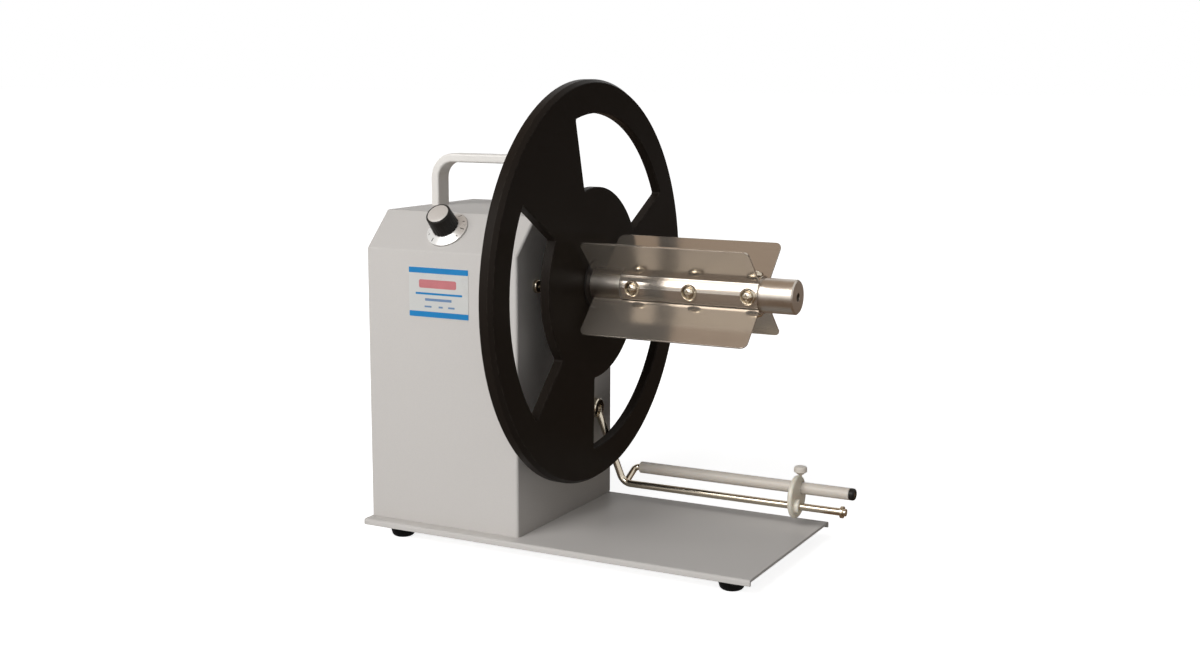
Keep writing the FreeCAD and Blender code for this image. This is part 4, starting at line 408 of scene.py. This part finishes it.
back = direction(AZIMUTH, ELEVATION)
level = Vector((math.cos(AZIMUTH), math.sin(AZIMUTH), 0))
above = back.cross(level)
across = level * math.cos(ROLL) + above * math.sin(ROLL)
upward = above * math.cos(ROLL) - level * math.sin(ROLL)
camera = bpy.data.objects.new("camera", bpy.data.cameras.new("camera"))
scene.collection.objects.link(camera)
camera.data.sensor_width = SENSOR
camera.data.lens = LENS
camera.data.clip_start = CLIP_START
camera.matrix_world = Matrix.Translation(CAMERA_PLACE) @ Matrix((across, upward, back)).transposed().to_4x4()
scene.camera = camera


# Light and backdrop
def lamp(name, place, target, size, power):
    """A round soft lamp that looks at the target."""
    data = bpy.data.lights.new(name, "AREA")
    data.shape = "DISK"
    data.size = size
    data.energy = power
    item = bpy.data.objects.new(name, data)
    item.location = place
    item.rotation_euler = (target - place).to_track_quat("-Z", "Y").to_euler()
    scene.collection.objects.link(item)


MIDDLE = Vector((-0.02, 0, 0.12))
LAMP_SIZE, LAMP_DISTANCE = 1.2, 2.3
# azimuth, elevation, watts
LAMPS = ((-25, 35, 16.5), (0, 35, 22.9), (0, 12, 3.3), (50, 35, 1.6))
for number, (azimuth, elevation, power) in enumerate(LAMPS):
    way = direction(math.radians(azimuth), math.radians(elevation))
    lamp(f"lamp_{number}", MIDDLE + way * LAMP_DISTANCE, MIDDLE, LAMP_SIZE, power)


def seen_rays(t):
    """1 for rays that show the background: from the camera, in a mirror and through glass."""
    path = t.add("ShaderNodeLightPath")
    return t.sum(t.sum(path.outputs["Is Camera Ray"], path.outputs["Is Glossy Ray"], "MAXIMUM"),
                 path.outputs["Is Transmission Ray"], "MAXIMUM")


AMBIENT_COLOUR, AMBIENT = (1.0, 0.985, 0.965, 1), 0.102
world = bpy.data.worlds.new("world")
scene.world = world
t = Tree(world)
seen = seen_rays(t)
ambient = t.add("ShaderNodeBackground", None, Color=AMBIENT_COLOUR, Strength=AMBIENT)
white = t.add("ShaderNodeBackground", None, Color=WHITE, Strength=1.0)
t.finish("ShaderNodeOutputWorld",
         t.add("ShaderNodeMixShader", None, _0=seen, _1=ambient.outputs[0], _2=white.outputs[0]))

# The floor glows like the background where it is seen, more so farther out, and keeps the shadow
FLOOR_HALF = 30
FLOOR_NEAR, FLOOR_FAR = 0.35, 1.1
GLOW_NEAR, GLOW_FAR = 0.86, 1.0
FLOOR_COLOUR = (0.82, 0.815, 0.81, 1)
floor_mat = bpy.data.materials.new("floor")
t = Tree(floor_mat)
place = t.add("ShaderNodeTexCoord").outputs["Object"]
distance = t.add("ShaderNodeVectorMath", {"operation": "LENGTH"}, _0=place).outputs["Value"]
glow_share = t.spread(distance, GLOW_NEAR, GLOW_FAR, FLOOR_NEAR, FLOOR_FAR)
glow = t.add("ShaderNodeEmission", None, Color=WHITE, Strength=t.sum(seen_rays(t), glow_share, "MULTIPLY"))
pale = t.add("ShaderNodeBsdfDiffuse", None, Color=FLOOR_COLOUR)
t.finish("ShaderNodeOutputMaterial", t.add("ShaderNodeAddShader", None, _0=glow.outputs[0], _1=pale.outputs[0]))
bm = bmesh.new()
bmesh.ops.create_grid(bm, x_segments=8, y_segments=8, size=FLOOR_HALF)
link("floor", bm, floor_mat)


def card(name, centre, size, facing, colour, strength, soft):
    """A glowing sheet with soft edges that only mirror reflections see: a painted reflection, so that bare metal
    shows tone, not just white.
    """
    mat = bpy.data.materials.new(name)
    t = Tree(mat)
    apart = t.add("ShaderNodeSeparateXYZ", None, Vector=t.add("ShaderNodeTexCoord").outputs["Object"])
    shares = []
    for axis, half in ((0, size[0] / 2), (1, size[1] / 2)):
        away = t.sum(apart.outputs[axis], 0.0, "ABSOLUTE")
        shares.append(t.spread(away, 1.0, 0.0, half * (1 - soft), half))
    glow = t.add("ShaderNodeEmission", None, Color=colour, Strength=strength)
    clear = t.add("ShaderNodeBsdfTransparent")
    share = t.sum(shares[0], shares[1], "MULTIPLY")
    t.finish("ShaderNodeOutputMaterial",
             t.add("ShaderNodeMixShader", None, _0=share, _1=clear.outputs[0], _2=glow.outputs[0]))
    bm = bmesh.new()
    bmesh.ops.create_grid(bm, x_segments=1, y_segments=1, size=0.5)
    bmesh.ops.scale(bm, vec=(size[0], size[1], 1), verts=bm.verts)
    item = link(name, bm, mat)
    item.location = centre
    item.rotation_euler = (Vector(facing) - Vector(centre)).to_track_quat("Z", "Y").to_euler()
    for way in ("camera", "diffuse", "transmission", "volume_scatter", "shadow"):
        setattr(item, f"visible_{way}", False)


# Painted reflections: brown above, dark brown below and behind, and a bright cream strip that puts a painted
# highlight on the metals
BROWN, DARK_BROWN, CREAM = (0.46, 0.36, 0.28, 1), (0.20, 0.14, 0.10, 1), (1.0, 0.96, 0.90, 1)
card("card_above", (-0.6, -0.2, 2.2), (4.6, 4.2), MIDDLE, BROWN, 1.0, 0.3)
card("card_below", (0.2, -0.1, 0.006), (5.0, 4.0), (0.2, -0.1, 1), DARK_BROWN, 1.0, 0.25)
card("card_behind", (1.2, 2.2, 0.3), (3.4, 2.6), MIDDLE, DARK_BROWN, 0.6, 0.3)
card("card_bright", (-0.9, -1.75, 0.62), (1.7, 0.42), MIDDLE, CREAM, 1.5, 0.5)
